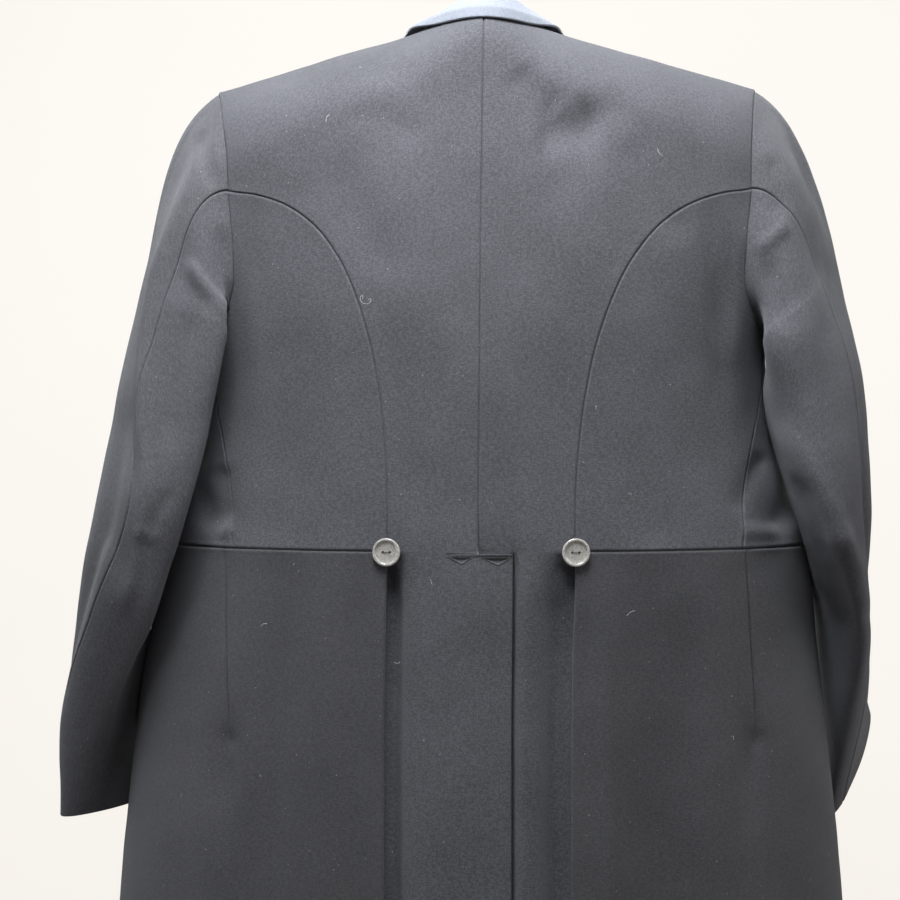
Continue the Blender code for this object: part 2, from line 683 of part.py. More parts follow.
def arm_rings(tab, side):
    """Outer points down the regular part of a sleeve."""
    stations = np.arange(len(tab["x"]), dtype=float)
    steps = np.linspace(0, stations[-1], ROWS_ARM + 1)
    at = {name: smooth(stations, column, steps) for name, column in tab.items()}
    rings = []
    for i, step in enumerate(steps):
        angle = np.radians(ring_angles(at["hind"][i], at["fore"][i]))
        centre = np.array([at["x"][i], at["y"][i], at["z"][i]])
        out = np.array([at["out_x"][i], at["out_y"][i], at["out_z"][i]])
        back = np.array([at["back_x"][i], at["back_y"][i], at["back_z"][i]])
        ring = centre + np.cos(angle)[:, None] * out + np.sin(angle)[:, None] * back
        near = np.exp(-(((np.degrees(angle) - HUG_AT) / HUG_WIDE) ** 2))
        ring = ring + near[:, None] * [at["hug_x"][i], at["hug_y"][i], 0]
        rings.append(ring * [side, 1, 1])
    return np.array(rings)


def grid_normals(points):
    """Directions across a grid that closes round its columns."""
    around = np.roll(points, -1, 1) - np.roll(points, 1, 1)
    along = np.gradient(points, axis=0)
    return unit(np.cross(around, along))


def sleeve_tube(side):
    """Outer and inner points of a whole sleeve, before it is split at its seams."""
    edge, body_out, into = armhole(side)
    rings = arm_rings(LEFT_ARM if side > 0 else RIGHT_ARM, side)
    lead = rings[0] - rings[1]
    start = edge + into * SLEEVE_IN
    reach = np.linalg.norm(rings[0] - start, axis=1, keepdims=True)
    columns = np.linspace(0, 360, len(edge), endpoint=False)[:, None]
    ahead = smooth(LEAVE["around"], LEAVE["ahead"], columns)
    lift = smooth(LEAVE["around"], LEAVE["lift"], columns)
    leave = unit(ahead * into + lift * body_out) * reach
    arrive = -unit(lead) * reach * 0.9
    rows = [start]
    for t in np.linspace(0, 1, ROWS_HEAD + 1)[1:-1]:
        a = (1 + 2 * t) * (1 - t) ** 2 * start + t * t * (3 - 2 * t) * rings[0]
        rows.append(a + t * (1 - t) ** 2 * leave - t * t * (1 - t) * arrive)
    points = np.concatenate([np.array(rows), rings])
    normal = grid_normals(points)
    centre = points.mean(1, keepdims=True)
    normal = normal * np.sign((normal * (points - centre)).sum(-1).mean())
    down = np.linspace(0, 1, len(points))[:, None]
    angle = np.linspace(0, 360, points.shape[1], endpoint=False)[None]
    rise = np.zeros(points.shape[:2])
    for arm, at, around, long, wide, height in zip(*ARM_FOLDS.values()):
        if arm == side:
            gap = (angle - around + 180) % 360 - 180
            rise += height * np.exp(-(((down - at) / long) ** 2) - (gap / wide) ** 2)
    rise[0] = 0
    points = points + normal * rise[..., None]
    normal[0] = unit(ahead * body_out - np.maximum(lift, 0) * into)
    return points, points - normal * CLOTH, normal


def sleeve_shapes(side):
    """The top sleeve and the under sleeve, parted at the hindarm and forearm seams."""
    points, inner, normal = sleeve_tube(side)
    hind = ROWS_BLADE
    fore = ROWS_BLADE + COLS_SIDE + FORE_STEPS
    count = points.shape[1]
    shapes = []
    for columns in ([*range(fore, count), *range(0, hind + 1)], list(range(hind, fore + 1))):
        part, lining, out = points[:, columns], inner[:, columns], normal[:, columns]
        moved = trim(part, out, {"first": SEAM / 2, "last": SEAM / 2})
        shapes.append(wall([(moved, lining + moved - part)]))
    return shapes


def collar_path():
    """The neck seam all round, from one front end to the other."""
    halves = []
    for side in (1, -1):
        back = neck_edge(side, 5)
        edge = np.concatenate([shoulder_edge(side, 1, True)[:1], knots_of(FRONT_EDGE, side)[::-1][:2]])
        front = run(edge, 15)[:4]
        halves.append(np.concatenate([back, front[1:]]))
    loop = np.concatenate([halves[0][::-1], halves[1][1:]])
    return place(loop[:, 0], loop[:, 1])


def collar_shape():
    """The collar: a stand up from the neck seam and a leaf folded down over it."""
    path = collar_path()
    along = unit(np.gradient(path, axis=0))
    flat = along * [1, 1, 0]
    away = unit(np.cross(flat, np.array([0, 0, 1.0])))
    away = away * np.sign((away * (path - [0, 0.02, 0])).sum(-1, keepdims=True))
    count = len(path)
    middle = (count - 1) / 2
    far = (np.arange(count) - middle) / middle
    off, high = COLLAR_SECTION["off"], COLLAR_SECTION["height"]
    line = []
    for i in range(count):
        at = {name: float(smooth(COLLAR_ROUND["far"], COLLAR_ROUND[name], far[i])) for name in COLLAR_ROUND}
        up = np.where(high < 0, high * at["drop"], high * at["rise"])
        aside = off * at["spread"] - at["lean"] * np.maximum(high, 0) / high.max()
        line.append(path[i] + np.outer(aside, away[i]) + np.outer(up, [0, 0, 1.0]))
    line = np.array(line)
    tangent = np.gradient(line, axis=1)
    normal = unit(np.cross(tangent, along[:, None, :]))
    fold = int(np.argmax(high))
    normal = normal * np.sign(normal[:, fold : fold + 1, 2:])
    cover = COLLAR_SECTION["cover"][:, None] * CLOTH
    return wall([(line + normal * cover, line + normal * (cover - CLOTH))])


def lapel_shape(side):
    """A lapel: the facing turned back over the forepart, from its roll line to a peaked point."""
    grid = forepart_grid(side)
    points, out = skin(grid[..., 0], grid[..., 1])
    edge = points[: LAPEL_END + 1, -1, 2]
    outer, facing = [], []
    share = np.linspace(0, 1, 5)
    for up in np.linspace(0, 1, LAPEL_ROWS + 1):
        row = float(np.interp(LAPEL_START + up * (edge[-1] - LAPEL_START), edge, np.arange(len(edge))))
        low = min(int(row), LAPEL_END - 1)
        line = points[low, ::-1] * (low + 1 - row) + points[low + 1, ::-1] * (row - low)
        lift = out[low, ::-1] * (low + 1 - row) + out[low + 1, ::-1] * (row - low)
        length = np.concatenate([[0], np.cumsum(np.linalg.norm(np.diff(line, axis=0), axis=1))])
        at = share * float(smooth(LAPEL["up"], LAPEL["wide"], up))
        spot = np.stack([np.interp(at, length, line[:, k]) for k in range(3)], -1)
        away = unit(np.stack([np.interp(at, length, lift[:, k]) for k in range(3)], -1))
        outer.append(spot + away * (CLOTH + LAPEL_OFF + LAPEL_ROLL * (1 - share[:, None]) ** 2))
        facing.append(away[0])
    outer = np.array(outer)
    away = grid_out(outer, np.array(facing))
    return wall([(outer, outer - away * CLOTH)])


def grid_out(points, toward):
    """Directions across an open grid, on the side that its first column faces."""
    out = unit(np.cross(np.gradient(points, axis=1), np.gradient(points, axis=0)))
    return out * np.sign((out[:, 0] * toward).sum(-1).mean())


def button_solid(name):
    """A round button with a raised rim and a dished middle, cut through by two holes."""
    profile = [
        (0.0, 0.0), (BUTTON_R * 0.80, 0.0), (BUTTON_R, 0.0010), (BUTTON_R, BUTTON_THICK - 0.0008),
        (BUTTON_R - 0.0007, BUTTON_THICK), (BUTTON_R - BUTTON_RIM, BUTTON_THICK),
        (BUTTON_R - BUTTON_RIM - 0.0010, BUTTON_THICK - BUTTON_DISH), (0.0, BUTTON_THICK - BUTTON_DISH),
    ]
    disc = bmesh.new()
    start = np.pi / BUTTON_SIDES
    ahead = (np.cos(start), np.sin(start))
    verts = [disc.verts.new((radius * ahead[0], radius * ahead[1], level)) for radius, level in profile]
    edges = [disc.edges.new(pair) for pair in zip(verts, verts[1:])]
    turned = {"cent": (0, 0, 0), "axis": (0, 0, 1), "angle": 2 * np.pi, "steps": BUTTON_SIDES}
    bmesh.ops.spin(disc, geom=verts + edges, use_merge=True, **turned)
    bmesh.ops.remove_doubles(disc, verts=disc.verts, dist=1e-6)
    bmesh.ops.recalc_face_normals(disc, faces=disc.faces)
    button = solid_of(name, disc)
    for side in (-1, 1):
        bore = bmesh.new()
        put = Matrix.Translation((side * HOLE_APART / 2, 0, BUTTON_THICK / 2))
        put = put @ Matrix.Rotation(start / 3, 4, "Z")
        sizes = {"radius1": HOLE_R, "radius2": HOLE_R, "depth": 3 * BUTTON_THICK, "segments": HOLE_SIDES}
        bmesh.ops.create_cone(bore, cap_ends=True, matrix=put, **sizes)
        cutter = solid_of("bore", bore)
        cut = button.modifiers.new("bore", "BOOLEAN")
        cut.operation, cut.solver, cut.object = "DIFFERENCE", "EXACT", cutter
        done = bpy.data.meshes.new_from_object(button.evaluated_get(bpy.context.evaluated_depsgraph_get()))
        button.modifiers.clear()
        button.data = done
        bpy.data.objects.remove(cutter)
    welded = bmesh.new()
    welded.from_mesh(button.data)
    bmesh.ops.remove_doubles(welded, verts=welded.verts, dist=BUTTON_WELD)
    bmesh.ops.dissolve_degenerate(welded, edges=welded.edges, dist=BUTTON_WELD)
    welded.to_mesh(button.data)
    welded.free()
    return button


def solid_of(name, shape):
    """An object made from a bmesh."""
    mesh = bpy.data.meshes.new(name)
    shape.to_mesh(mesh)
    shape.free()
    obj = bpy.data.objects.new(name, mesh)
    bpy.context.scene.collection.objects.link(obj)
    return obj


def add_button(collection, name, turn, height):
    """Sew a button flat on the form at an angle and a height."""
    spot, out = skin(np.array(float(turn)), fall(out_at(turn, height), height))
    up = unit(np.array([0, 0, 1.0]) - out * out[2])
    across = np.cross(up, out)
    base = spot + out * BUTTON_LIFT
    frame = Matrix(np.stack([across, up, out, base], 1).tolist()).to_4x4()
    button = button_solid(name)
    button.data.transform(frame)
    button.data.materials.clear()
    button.data.materials.append(material(name, (0.075, 0.072, 0.066), 0.35))
    bpy.context.scene.collection.objects.unlink(button)
    collection.objects.link(button)


def build():
    """Make every piece of the coat."""
    for obj in list(bpy.data.objects):
        bpy.data.objects.remove(obj)
    collection = bpy.data.collections.new(NAME)
    bpy.context.scene.collection.children.link(collection)
    body = (0.035, 0.036, 0.040)
    for side, word in ((1, "left"), (-1, "right")):
        add(collection, f"back_{word}", back_shape(side), body)
        add(collection, f"side_body_{word}", side_shape(side), (0.032, 0.033, 0.037))
        add(collection, f"forepart_{word}", forepart_shape(side), (0.034, 0.034, 0.038))
        add(collection, f"skirt_{word}", skirt_shape(side), (0.030, 0.031, 0.035))
        top, under = sleeve_shapes(side)
        add(collection, f"top_sleeve_{word}", top, (0.036, 0.036, 0.041))
        add(collection, f"under_sleeve_{word}", under, (0.028, 0.028, 0.034))
        add(collection, f"lapel_{word}", lapel_shape(side), (0.037, 0.038, 0.043))
        back_turn = side * float(turn_at(BACK_BUTTON_OUT, BACK_BUTTON_HEIGHT))
        add_button(collection, f"back_button_{word}", back_turn, BACK_BUTTON_HEIGHT)
    add_button(collection, "front_button", -FRONT_BUTTON_TURN, FRONT_BUTTON_HEIGHT)
    add(collection, "collar", collar_shape(), (0.085, 0.095, 0.120))


build()
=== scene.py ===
"""A morning coat in fine charcoal worsted, hollow and filled out with no wearer, seen best from behind.

Metres, +Z up. The coat's back faces +Y and its own left side is +X. Every panel of cloth is a thin shell cut
along the tailor's seams of one shared body form.
"""

import logging
from dataclasses import dataclass, field
from enum import Enum
from typing import Callable

import bmesh
import bpy
import numpy as np
from mathutils import Matrix, Vector


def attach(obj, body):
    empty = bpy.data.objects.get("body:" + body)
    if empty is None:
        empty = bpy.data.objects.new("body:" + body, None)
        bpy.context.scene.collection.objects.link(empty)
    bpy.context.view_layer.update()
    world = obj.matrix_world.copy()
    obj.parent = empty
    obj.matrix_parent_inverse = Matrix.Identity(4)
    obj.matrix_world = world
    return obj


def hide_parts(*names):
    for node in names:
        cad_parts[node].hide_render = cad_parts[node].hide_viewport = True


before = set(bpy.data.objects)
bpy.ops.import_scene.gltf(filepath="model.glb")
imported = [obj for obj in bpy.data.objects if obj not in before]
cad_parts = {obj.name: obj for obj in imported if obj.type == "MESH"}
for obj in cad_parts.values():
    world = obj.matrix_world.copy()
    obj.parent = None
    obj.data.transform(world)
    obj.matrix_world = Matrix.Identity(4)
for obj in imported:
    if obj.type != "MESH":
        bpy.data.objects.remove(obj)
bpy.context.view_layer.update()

Array = np.ndarray
Table = dict[str, Array]
EdgeLine = Callable[[Array], Array]
Point = tuple[float, float, float]
Color = tuple[float, float, float]
Rings = list[list[Vector | Array]]
Inputs = dict[str | int, object]
Piece = bpy.types.Object
Material = bpy.types.Material
Socket = bpy.types.NodeSocket
log = logging.getLogger("morning_coat")


def table(names: str, rows: list[tuple[float, ...]]) -> Table:
    """Columns of a table under their names, which have spaces between them."""
    cells = np.array(rows, float)
    return {name: cells[:, i] for i, name in enumerate(names.split())}


# Walls, how much further apart a sheet's two faces lie, and the heights of the coat
CLOTH = 0.0018
LAYER = 0.0025
FACES_APART = 0.0004
NAPE = 0.002
WAIST = -0.4485
HEM = -1.055
BLADE_SPLIT = -0.085

# Centre back, vent and pleats
VENT_LAP = 0.028
UNDERLAP = 0.02
HOOK_DROP = 0.0022
PLEAT = 0.0776
PLEAT_RETURN = 0.022
PLEAT_START = 0.013

# Shares of a panel's edge between its corners
SEAM_ROWS = 10
BLADE_ROWS = 4
NECK_COLS = 3
SHOULDER_COLS = 7
SIDE_COLS = 4
FORE_COLS = 10
SCYE_ROWS = 8
FORE_STEPS = 3
HEAD_ROWS = 5
ARM_ROWS = 10
RING_COLS = BLADE_ROWS + SIDE_COLS + SCYE_ROWS

# The body form: half width, depth of back and front, where its side lies, how square it is, and its lean
# at the sides and at the centre
FORM = table("height half back front side square lean centre", [
    (-1.1, 0.344, 0.101, -0.12, -0.045, 2, 0.003, 0.004),
    (-0.9, 0.336, 0.103, -0.124, -0.045, 2, 0.003, 0.004),
    (-0.78, 0.3296, 0.105, -0.126, -0.045, 2, 0.003, 0.004),
    (-0.663, 0.3202, 0.107, -0.127, -0.045, 2, 0.0026, 0.004),
    (-0.59, 0.3122, 0.108, -0.127, -0.044, 2, 0.0024, 0.004),
    (-0.536, 0.3052, 0.109, -0.127, -0.043, 2, 0.001, 0.0036),
    (-0.49, 0.2975, 0.111, -0.126, -0.041, 2.02, -0.002, 0.0034),
    (-0.448, 0.288, 0.112, -0.126, -0.038, 2.04, -0.004, 0.0033),
    (-0.41, 0.277, 0.112, -0.127, -0.037, 2.08, -0.004, 0.003),
    (-0.364, 0.261, 0.113, -0.128, -0.034, 2.14, -0.004, 0.0025),
    (-0.3, 0.25, 0.115, -0.13, -0.026, 2.25, -0.004, 0.002),
    (-0.25, 0.247, 0.117, -0.13, -0.015, 2.35, -0.0045, 0.0015),
    (-0.146, 0.25, 0.115, -0.126, -0.008, 2.45, -0.0055, 0.0005),
    (-0.05, 0.251, 0.106, -0.112, 0.004, 2.45, -0.003, -0.001),
    (0.06, 0.25, 0.094, -0.1, 0.012, 2.4, -0.002, -0.002),
])

# Seams on the form: distance out from the centre and height, or angle from the centre back and height
SIDE_BACK = table("out height", [
    (0.0772, -0.4485), (0.0775, -0.4), (0.08, -0.36), (0.085, -0.318), (0.093, -0.278), (0.105, -0.24),
    (0.121, -0.207), (0.142, -0.18), (0.168, -0.161), (0.196, -0.15), (0.2225, -0.1435),
])
SCYE_BACK = table("out height", [(0.2367, -0.0536), (0.2275, -0.084), (0.2235, -0.114), (0.2225, -0.1435)])
SCYE_UNDER = table("turn height", [
    (60.1, -0.1435), (58.6, -0.197), (60.2, -0.231), (67, -0.254), (77.5, -0.264),
])
SCYE_FRONT = table("turn height", [
    (77.5, -0.264), (91, -0.268), (106, -0.258), (117, -0.232), (122.5, -0.19), (123, -0.145), (119, -0.095),
])
UNDERARM = table("turn height", [(48.45, -0.4485), (51.8, -0.41), (60, -0.36), (70, -0.313), (77.5, -0.264)])
FRONT_LOW = table("turn height", [(147, -0.4485), (147.7, -0.417), (148.4, -0.385)])
FRONT_EDGE = table("turn height", [
    (148.4, -0.385), (149.5, -0.34), (153, -0.25), (158.5, -0.13), (161.5, -0.05),
])
CUTAWAY = table("turn height", [
    (147, -0.4495), (143, -0.52), (135, -0.605), (124, -0.69), (110, -0.775), (93, -0.86), (73, -0.945),
    (54, -1.01), (40, -1.046), (33, -1.055),
])
BACK_WAIST = np.array([0.0002, 0.01, 0.02, 0.0294, 0.037, 0.045, 0.053, 0.06, 0.066, 0.072, 0.0772])
SIDE_WAIST = np.array([0.0772, 0.106, 0.142, 0.18, 0.2165])
NECK_HALF = 0.057
SHOULDER_HALF = 0.2367

# Soft folds of the body: where each lies, which way it runs, its size, and how far it stands out
FOLDS = table("out height lean_deg long wide rise", [
    (-0.205, -0.255, 4, 0.075, 0.012, -0.005),
    (-0.232, -0.225, 4, 0.07, 0.012, 0.0024),
    (-0.072, -0.14, 25, 0.04, 0.02, -0.0028),
    (-0.262, -0.425, 30, 0.038, 0.014, -0.005),
    (-0.262, -0.4385, 84, 0.03, 0.01, 0.0024),
    (0.235, -0.425, -30, 0.034, 0.014, -0.0045),
    (0.23, -0.4385, -84, 0.026, 0.01, 0.0022),
    (0.178, -0.66, 2, 0.18, 0.02, -0.006),
    (0.118, -0.76, -1, 0.24, 0.018, 0.004),
    (0.235, -0.8, 4, 0.15, 0.022, 0.005),
    (0.222, -0.64, 0, 0.045, 0.012, -0.0035),
    (-0.148, -0.7, -2, 0.19, 0.022, -0.006),
    (-0.105, -0.78, 0, 0.24, 0.016, 0.0035),
    (-0.232, -0.8, -4, 0.15, 0.022, 0.005),
    (-0.226, -0.635, 0, 0.045, 0.012, -0.0035),
    (-0.058, -0.68, 0, 0.2, 0.01, -0.003),
    (0.062, -0.7, 0, 0.22, 0.009, -0.003),
    (-0.037, -0.76, 0, 0.24, 0.008, 0.0022),
])
FLARES = table("turn start wave rise", [
    (75, -0.56, 30, 0.006), (108, -0.56, 24, -0.006), (-75, -0.58, 30, 0.006), (-108, -0.56, 24, -0.006),
])

# Sleeve rings, down each arm: centre, half-axis to the outer edge, half-axis to the back, the two seams,
# and how far the ring bulges in and back over the body behind it
RING = "x y z out_x out_y out_z back_x back_y back_z hind fore hug_x hug_y"
LEFT_ARM = table(RING, [
    (0.2745, 0.016, -0.243, 0.0235, 0, 0.038, -0.016, 0.064, -0.008, 64, 232, -0.034, 0.012),
    (0.282, 0.022, -0.325, 0.0385, 0, 0.015, -0.014, 0.064, 0, 60, 236, -0.019, 0.006),
    (0.303, 0.028, -0.42, 0.0345, 0, 0.006, -0.01, 0.064, 0, 76, 238, -0.024, 0),
    (0.3265, 0.006, -0.505, 0.0295, -0.001, 0.002, -0.001, 0.063, -0.004, 66, 240, -0.024, 0),
    (0.3454, -0.033, -0.6, 0.0236, -0.008, 0, 0.019, 0.06, -0.004, 54, 240, -0.014, 0),
    (0.35, -0.068, -0.696, 0.0175, -0.012, 0, 0.0315, 0.052, -0.002, 48, 240, 0, 0),
])
RIGHT_ARM = table(RING, [
    (0.283, 0.016, -0.243, 0.028, 0, 0.038, -0.018, 0.064, -0.008, 46, 232, -0.015, 0.01),
    (0.2905, 0.022, -0.325, 0.0415, 0, 0.013, -0.014, 0.064, 0, 37, 236, 0, 0.004),
    (0.308, 0.02, -0.42, 0.0305, 0, 0.004, -0.013, 0.063, -0.01, 36, 238, 0, 0),
    (0.3228, -0.03, -0.5, 0.0196, 0, 0.004, 0.007, 0.057, -0.026, 40, 240, 0, 0),
    (0.3382, -0.076, -0.58, 0.0208, 0.004, 0.005, -0.009, 0.053, -0.027, 44, 240, 0, 0),
    (0.353, -0.125, -0.668, 0.01, 0.0135, 0.004, -0.028, 0.039, -0.045, 46, 240, 0, 0),
])
HUG_AT = 120
HUG_WIDE = 34
LEAVE = table("around ahead lift", [
    (0, 1, -0.25), (36, 0.9, 0.3), (72, 0.45, 0.9), (108, 0.25, 1.15), (144, 0.3, 1.15), (198, 0.35, 1),
    (250, 0.6, 0.6), (306, 0.9, 0.15), (360, 1, -0.25),
])
ARM_FOLDS = table("side down around long wide rise", [
    (1, 0.16, 40, 0.09, 18, -0.0035),
    (1, 0.3, 62, 0.14, 14, 0.003),
    (1, 0.24, 96, 0.08, 14, -0.006),
    (1, 0.62, 30, 0.16, 20, 0.003),
    (1, 0.66, 60, 0.16, 14, -0.004),
    (-1, 0.18, 24, 0.07, 16, -0.004),
    (-1, 0.28, 84, 0.08, 14, -0.004),
    (-1, 0.6, 70, 0.1, 18, -0.005),
    (-1, 0.7, 20, 0.16, 20, 0.0015),
    (-1, 0.4, 200, 0.05, 30, 0.0026),
    (-1, 0.575, 205, 0.07, 28, 0.0042),
    (-1, 0.81, 200, 0.05, 30, 0.0024),
    (1, 0.745, 182, 0.04, 38, 0.0032),
    (1, 0.78, 224, 0.04, 26, 0.0016),
    (1, 0.705, 126, 0.035, 26, 0.0034),
    (-1, 0.372, 134, 0.055, 28, 0.0066),
])

# Collar: its fold section, from the neck seam up and over to the leaf edge, and how it changes round the neck
COLLAR_SECTION = table("off height cover", [
    (0, 0.0012, 0), (0.0006, 0.008, 0.5), (0.0016, 0.013, 0.9), (0.0028, 0.0158, 1), (0.0041, 0.0166, 1),
    (0.0053, 0.0152, 1), (0.0061, 0.011, 1), (0.0068, 0.005, 1), (0.0077, -0.002, 1), (0.0086, -0.0086, 1),
])
COLLAR_ROUND = table("far rise lean spread drop", [
    (-1, 0.3, 0.006, 1.3, 0), (-0.75, 0.33, 0.01, 1.4, 0), (-0.5, 0.4, 0.014, 1.45, 0.12),
    (-0.25, 0.58, 0.0115, 1.2, 0.84), (0, 0.8, 0.006, 1, 1), (0.25, 0.76, 0.0075, 1.1, 0.84),
    (0.5, 0.46, 0.0125, 1.4, 0.12), (0.75, 0.35, 0.01, 1.4, 0), (1, 0.3, 0.006, 1.3, 0),
])
LAPEL_START = -0.41
LAPEL_END = 15
LAPEL = table("up wide", [
    (0, 0.01), (0.2, 0.034), (0.45, 0.066), (0.66, 0.092), (0.74, 0.098), (0.8, 0.07), (0.9, 0.052),
    (1, 0.034),
])

# Creases pressed and pulled into the cloth, seen from behind: from one end to the other across and up, how
# far the crease bows, its half width, how far it stands out, and how much steeper one side is
CREASE = "x0 z0 x1 z1 bow wide rise skew"
BODY_CREASES = table(CREASE, [
    (-0.048, -0.101, -0.096, -0.101, 0, 0.021, -0.0056, 0),
    (-0.06, -0.086, -0.028, -0.054, 0, 0.016, -0.0022, 0),
    (-0.084, -0.094, -0.12, -0.078, 0, 0.016, -0.0022, 0),
    (0.05, -0.056, 0.11, -0.048, 0.004, 0.014, -0.0016, 0),
    (0.12, -0.13, 0.07, -0.22, 0.006, 0.018, -0.0016, 0),
    (-0.125, -0.11, -0.165, -0.19, 0.006, 0.016, -0.0016, 0),
    (-0.193, -0.16, -0.196, -0.268, 0.002, 0.008, -0.0016, 0.3),
    (-0.213, -0.17, -0.212, -0.29, 0, 0.009, 0.0016, 0),
    (-0.245, -0.37, -0.217, -0.418, 0.003, 0.008, -0.0022, 0.2),
    (-0.22, -0.433, -0.256, -0.436, 0, 0.006, 0.0016, 0),
    (0.224, -0.38, 0.218, -0.425, 0, 0.008, -0.0022, 0),
    (0.215, -0.43, 0.224, -0.439, 0, 0.005, 0.0014, 0),
    (0.05, -0.11, 0.11, -0.086, 0.004, 0.012, -0.001, 0),
    (-0.015, -0.25, -0.022, -0.39, 0.003, 0.009, 0.0007, 0),
    (0.035, -0.3, 0.056, -0.42, 0.004, 0.009, -0.0007, 0),
])
SKIRT_CREASES = table(CREASE, [
    (0.212, -0.595, 0.202, -0.84, 0.004, 0.013, -0.003, 0.2),
    (0.105, -0.47, 0.1, -0.86, 0.003, 0.012, -0.0026, 0),
    (-0.17, -0.5, -0.165, -0.86, -0.004, 0.015, -0.003, 0),
    (-0.235, -0.6, -0.23, -0.76, 0.003, 0.011, -0.0014, 0.2),
    (-0.1, -0.48, -0.108, -0.76, 0, 0.01, 0.0014, 0),
    (0.14, -0.47, 0.135, -0.78, 0, 0.012, 0.0012, 0),
])
LEFT_SLEEVE_CREASES = table(CREASE, [
    (0.245, -0.088, 0.23, -0.139, 0, 0.008, -0.002, 0),
    (0.215, -0.178, 0.23, -0.248, 0, 0.012, -0.0024, 0.3),
    (0.25, -0.205, 0.208, -0.252, 0.001, 0.0066, 0.003, 0.3),
    (0.274, -0.188, 0.281, -0.39, 0.009, 0.0062, 0.003, 0.4),
    (0.286, -0.21, 0.293, -0.39, 0.009, 0.008, -0.002, 0),
    (0.281, -0.385, 0.302, -0.496, -0.005, 0.0055, 0.0022, 0.3),
    (0.245, -0.25, 0.262, -0.36, 0.004, 0.009, -0.002, 0),
    (0.305, -0.33, 0.312, -0.46, 0.004, 0.01, -0.0014, 0),
    (0.26, -0.4, 0.285, -0.45, 0.002, 0.006, -0.0014, 0),
    (0.288, -0.43, 0.274, -0.442, 0, 0.005, 0.0014, 0),
    (0.276, -0.5, 0.33, -0.63, 0.004, 0.01, 0.0022, 0.3),
    (0.295, -0.57, 0.31, -0.66, 0.003, 0.012, -0.0026, 0),
])
RIGHT_SLEEVE_CREASES = table(CREASE, [
    (-0.244, -0.118, -0.253, -0.165, 0, 0.008, -0.002, 0),
    (-0.233, -0.197, -0.256, -0.174, 0, 0.0055, 0.0022, 0.2),
    (-0.24, -0.21, -0.252, -0.265, 0.003, 0.008, -0.0018, 0),
    (-0.285, -0.25, -0.3, -0.36, 0.004, 0.011, -0.001, 0),
    (-0.256, -0.348, -0.306, -0.452, -0.003, 0.009, 0.0026, 0.3),
    (-0.296, -0.43, -0.332, -0.508, -0.003, 0.0095, 0.0022, 0.3),
    (-0.262, -0.39, -0.29, -0.456, -0.002, 0.008, -0.0026, 0),
    (-0.29, -0.45, -0.32, -0.525, -0.002, 0.0085, -0.0024, 0),
    (-0.32, -0.47, -0.335, -0.52, 0, 0.009, -0.0014, 0),
])
# Similar creases on the sides turned away: the fronts, and the inner arms
FRONT_CREASES = table(CREASE, [
    (0.22, -0.3, 0.17, -0.39, 0.006, 0.011, -0.0016, 0.2),
    (-0.215, -0.28, -0.16, -0.385, 0.006, 0.011, -0.0016, 0.2),
    (0.23, -0.37, 0.175, -0.42, 0.003, 0.008, 0.0012, 0),
    (-0.225, -0.36, -0.185, -0.425, 0.003, 0.008, 0.0012, 0),
    (0.27, -0.52, 0.25, -0.82, 0.004, 0.013, -0.002, 0.2),
    (-0.265, -0.53, -0.245, -0.84, -0.004, 0.013, -0.002, 0.2),
    (0.205, -0.48, 0.205, -0.68, 0.004, 0.012, 0.0014, 0),
    (-0.21, -0.47, -0.205, -0.66, 0.004, 0.012, 0.0014, 0),
])
INNER_ARM_CREASES = {
    1: table(CREASE, [
        (0.3, -0.395, 0.345, -0.425, 0.004, 0.007, -0.0022, 0.3),
        (0.3, -0.425, 0.355, -0.45, -0.003, 0.006, 0.0018, 0.2),
        (0.315, -0.47, 0.365, -0.488, 0.003, 0.007, -0.0018, 0),
        (0.29, -0.26, 0.31, -0.34, 0.004, 0.009, -0.0016, 0),
    ]),
    -1: table(CREASE, [
        (-0.3, -0.4, -0.34, -0.43, 0.004, 0.007, -0.0022, 0.3),
        (-0.305, -0.435, -0.35, -0.452, -0.003, 0.006, 0.0018, 0.2),
        (-0.32, -0.475, -0.36, -0.495, 0.003, 0.007, -0.0016, 0),
        (-0.295, -0.27, -0.315, -0.35, 0.004, 0.009, -0.0016, 0),
    ]),
}
# Darts below the waist seam, taken in to a point
DARTS = table(CREASE, [
    (0.2205, -0.452, 0.2165, -0.608, 0, 0.0011, -0.0022, 0),
    (-0.224, -0.452, -0.235, -0.608, 0, 0.0011, -0.0022, 0),
])
DART_ENDS = table("x z wide rise", [(0.216, -0.612, 0.007, -0.002), (-0.2352, -0.612, 0.007, -0.002)])
# The vent's two tacks, on the back: ends, base and apex
TACKS = table("left right top apex low", [
    (0.0279, 0.0082, -0.4527, 0.0168, -0.4584), (0.0002, -0.0229, -0.4533, -0.0131, -0.4593),
])
# Stray fibres on the back: place, reach, how often each curls and the way it runs
CURLS = table("x z size turns tilt", [
    (0.0995, -0.242, 0.006, 1.6, 20), (-0.143, -0.12, 0.003, 0.6, 75), (0.0427, -0.4724, 0.0026, 0.2, 88),
    (0.188, -0.512, 0.0026, 0.8, 130), (-0.09, -0.33, 0.0024, 0.5, 60), (0.13, -0.09, 0.0028, 0.7, 100),
    (-0.21, -0.608, 0.003, 0.5, 40), (0.07, -0.54, 0.0022, 0.9, 15), (-0.12, -0.5, 0.0026, 0.5, 150),
])


class Side(Enum):
    """The coat's own left and right."""

    LEFT = 1
    RIGHT = -1

    @property
    def word(self) -> str:
        """The side's name in a piece's name."""
        return self.name.lower()


class Finish(Enum):
    """How the edge of a panel is made."""

    SEAM = "rolled in to a seam"
    FREE = "turned and pressed"


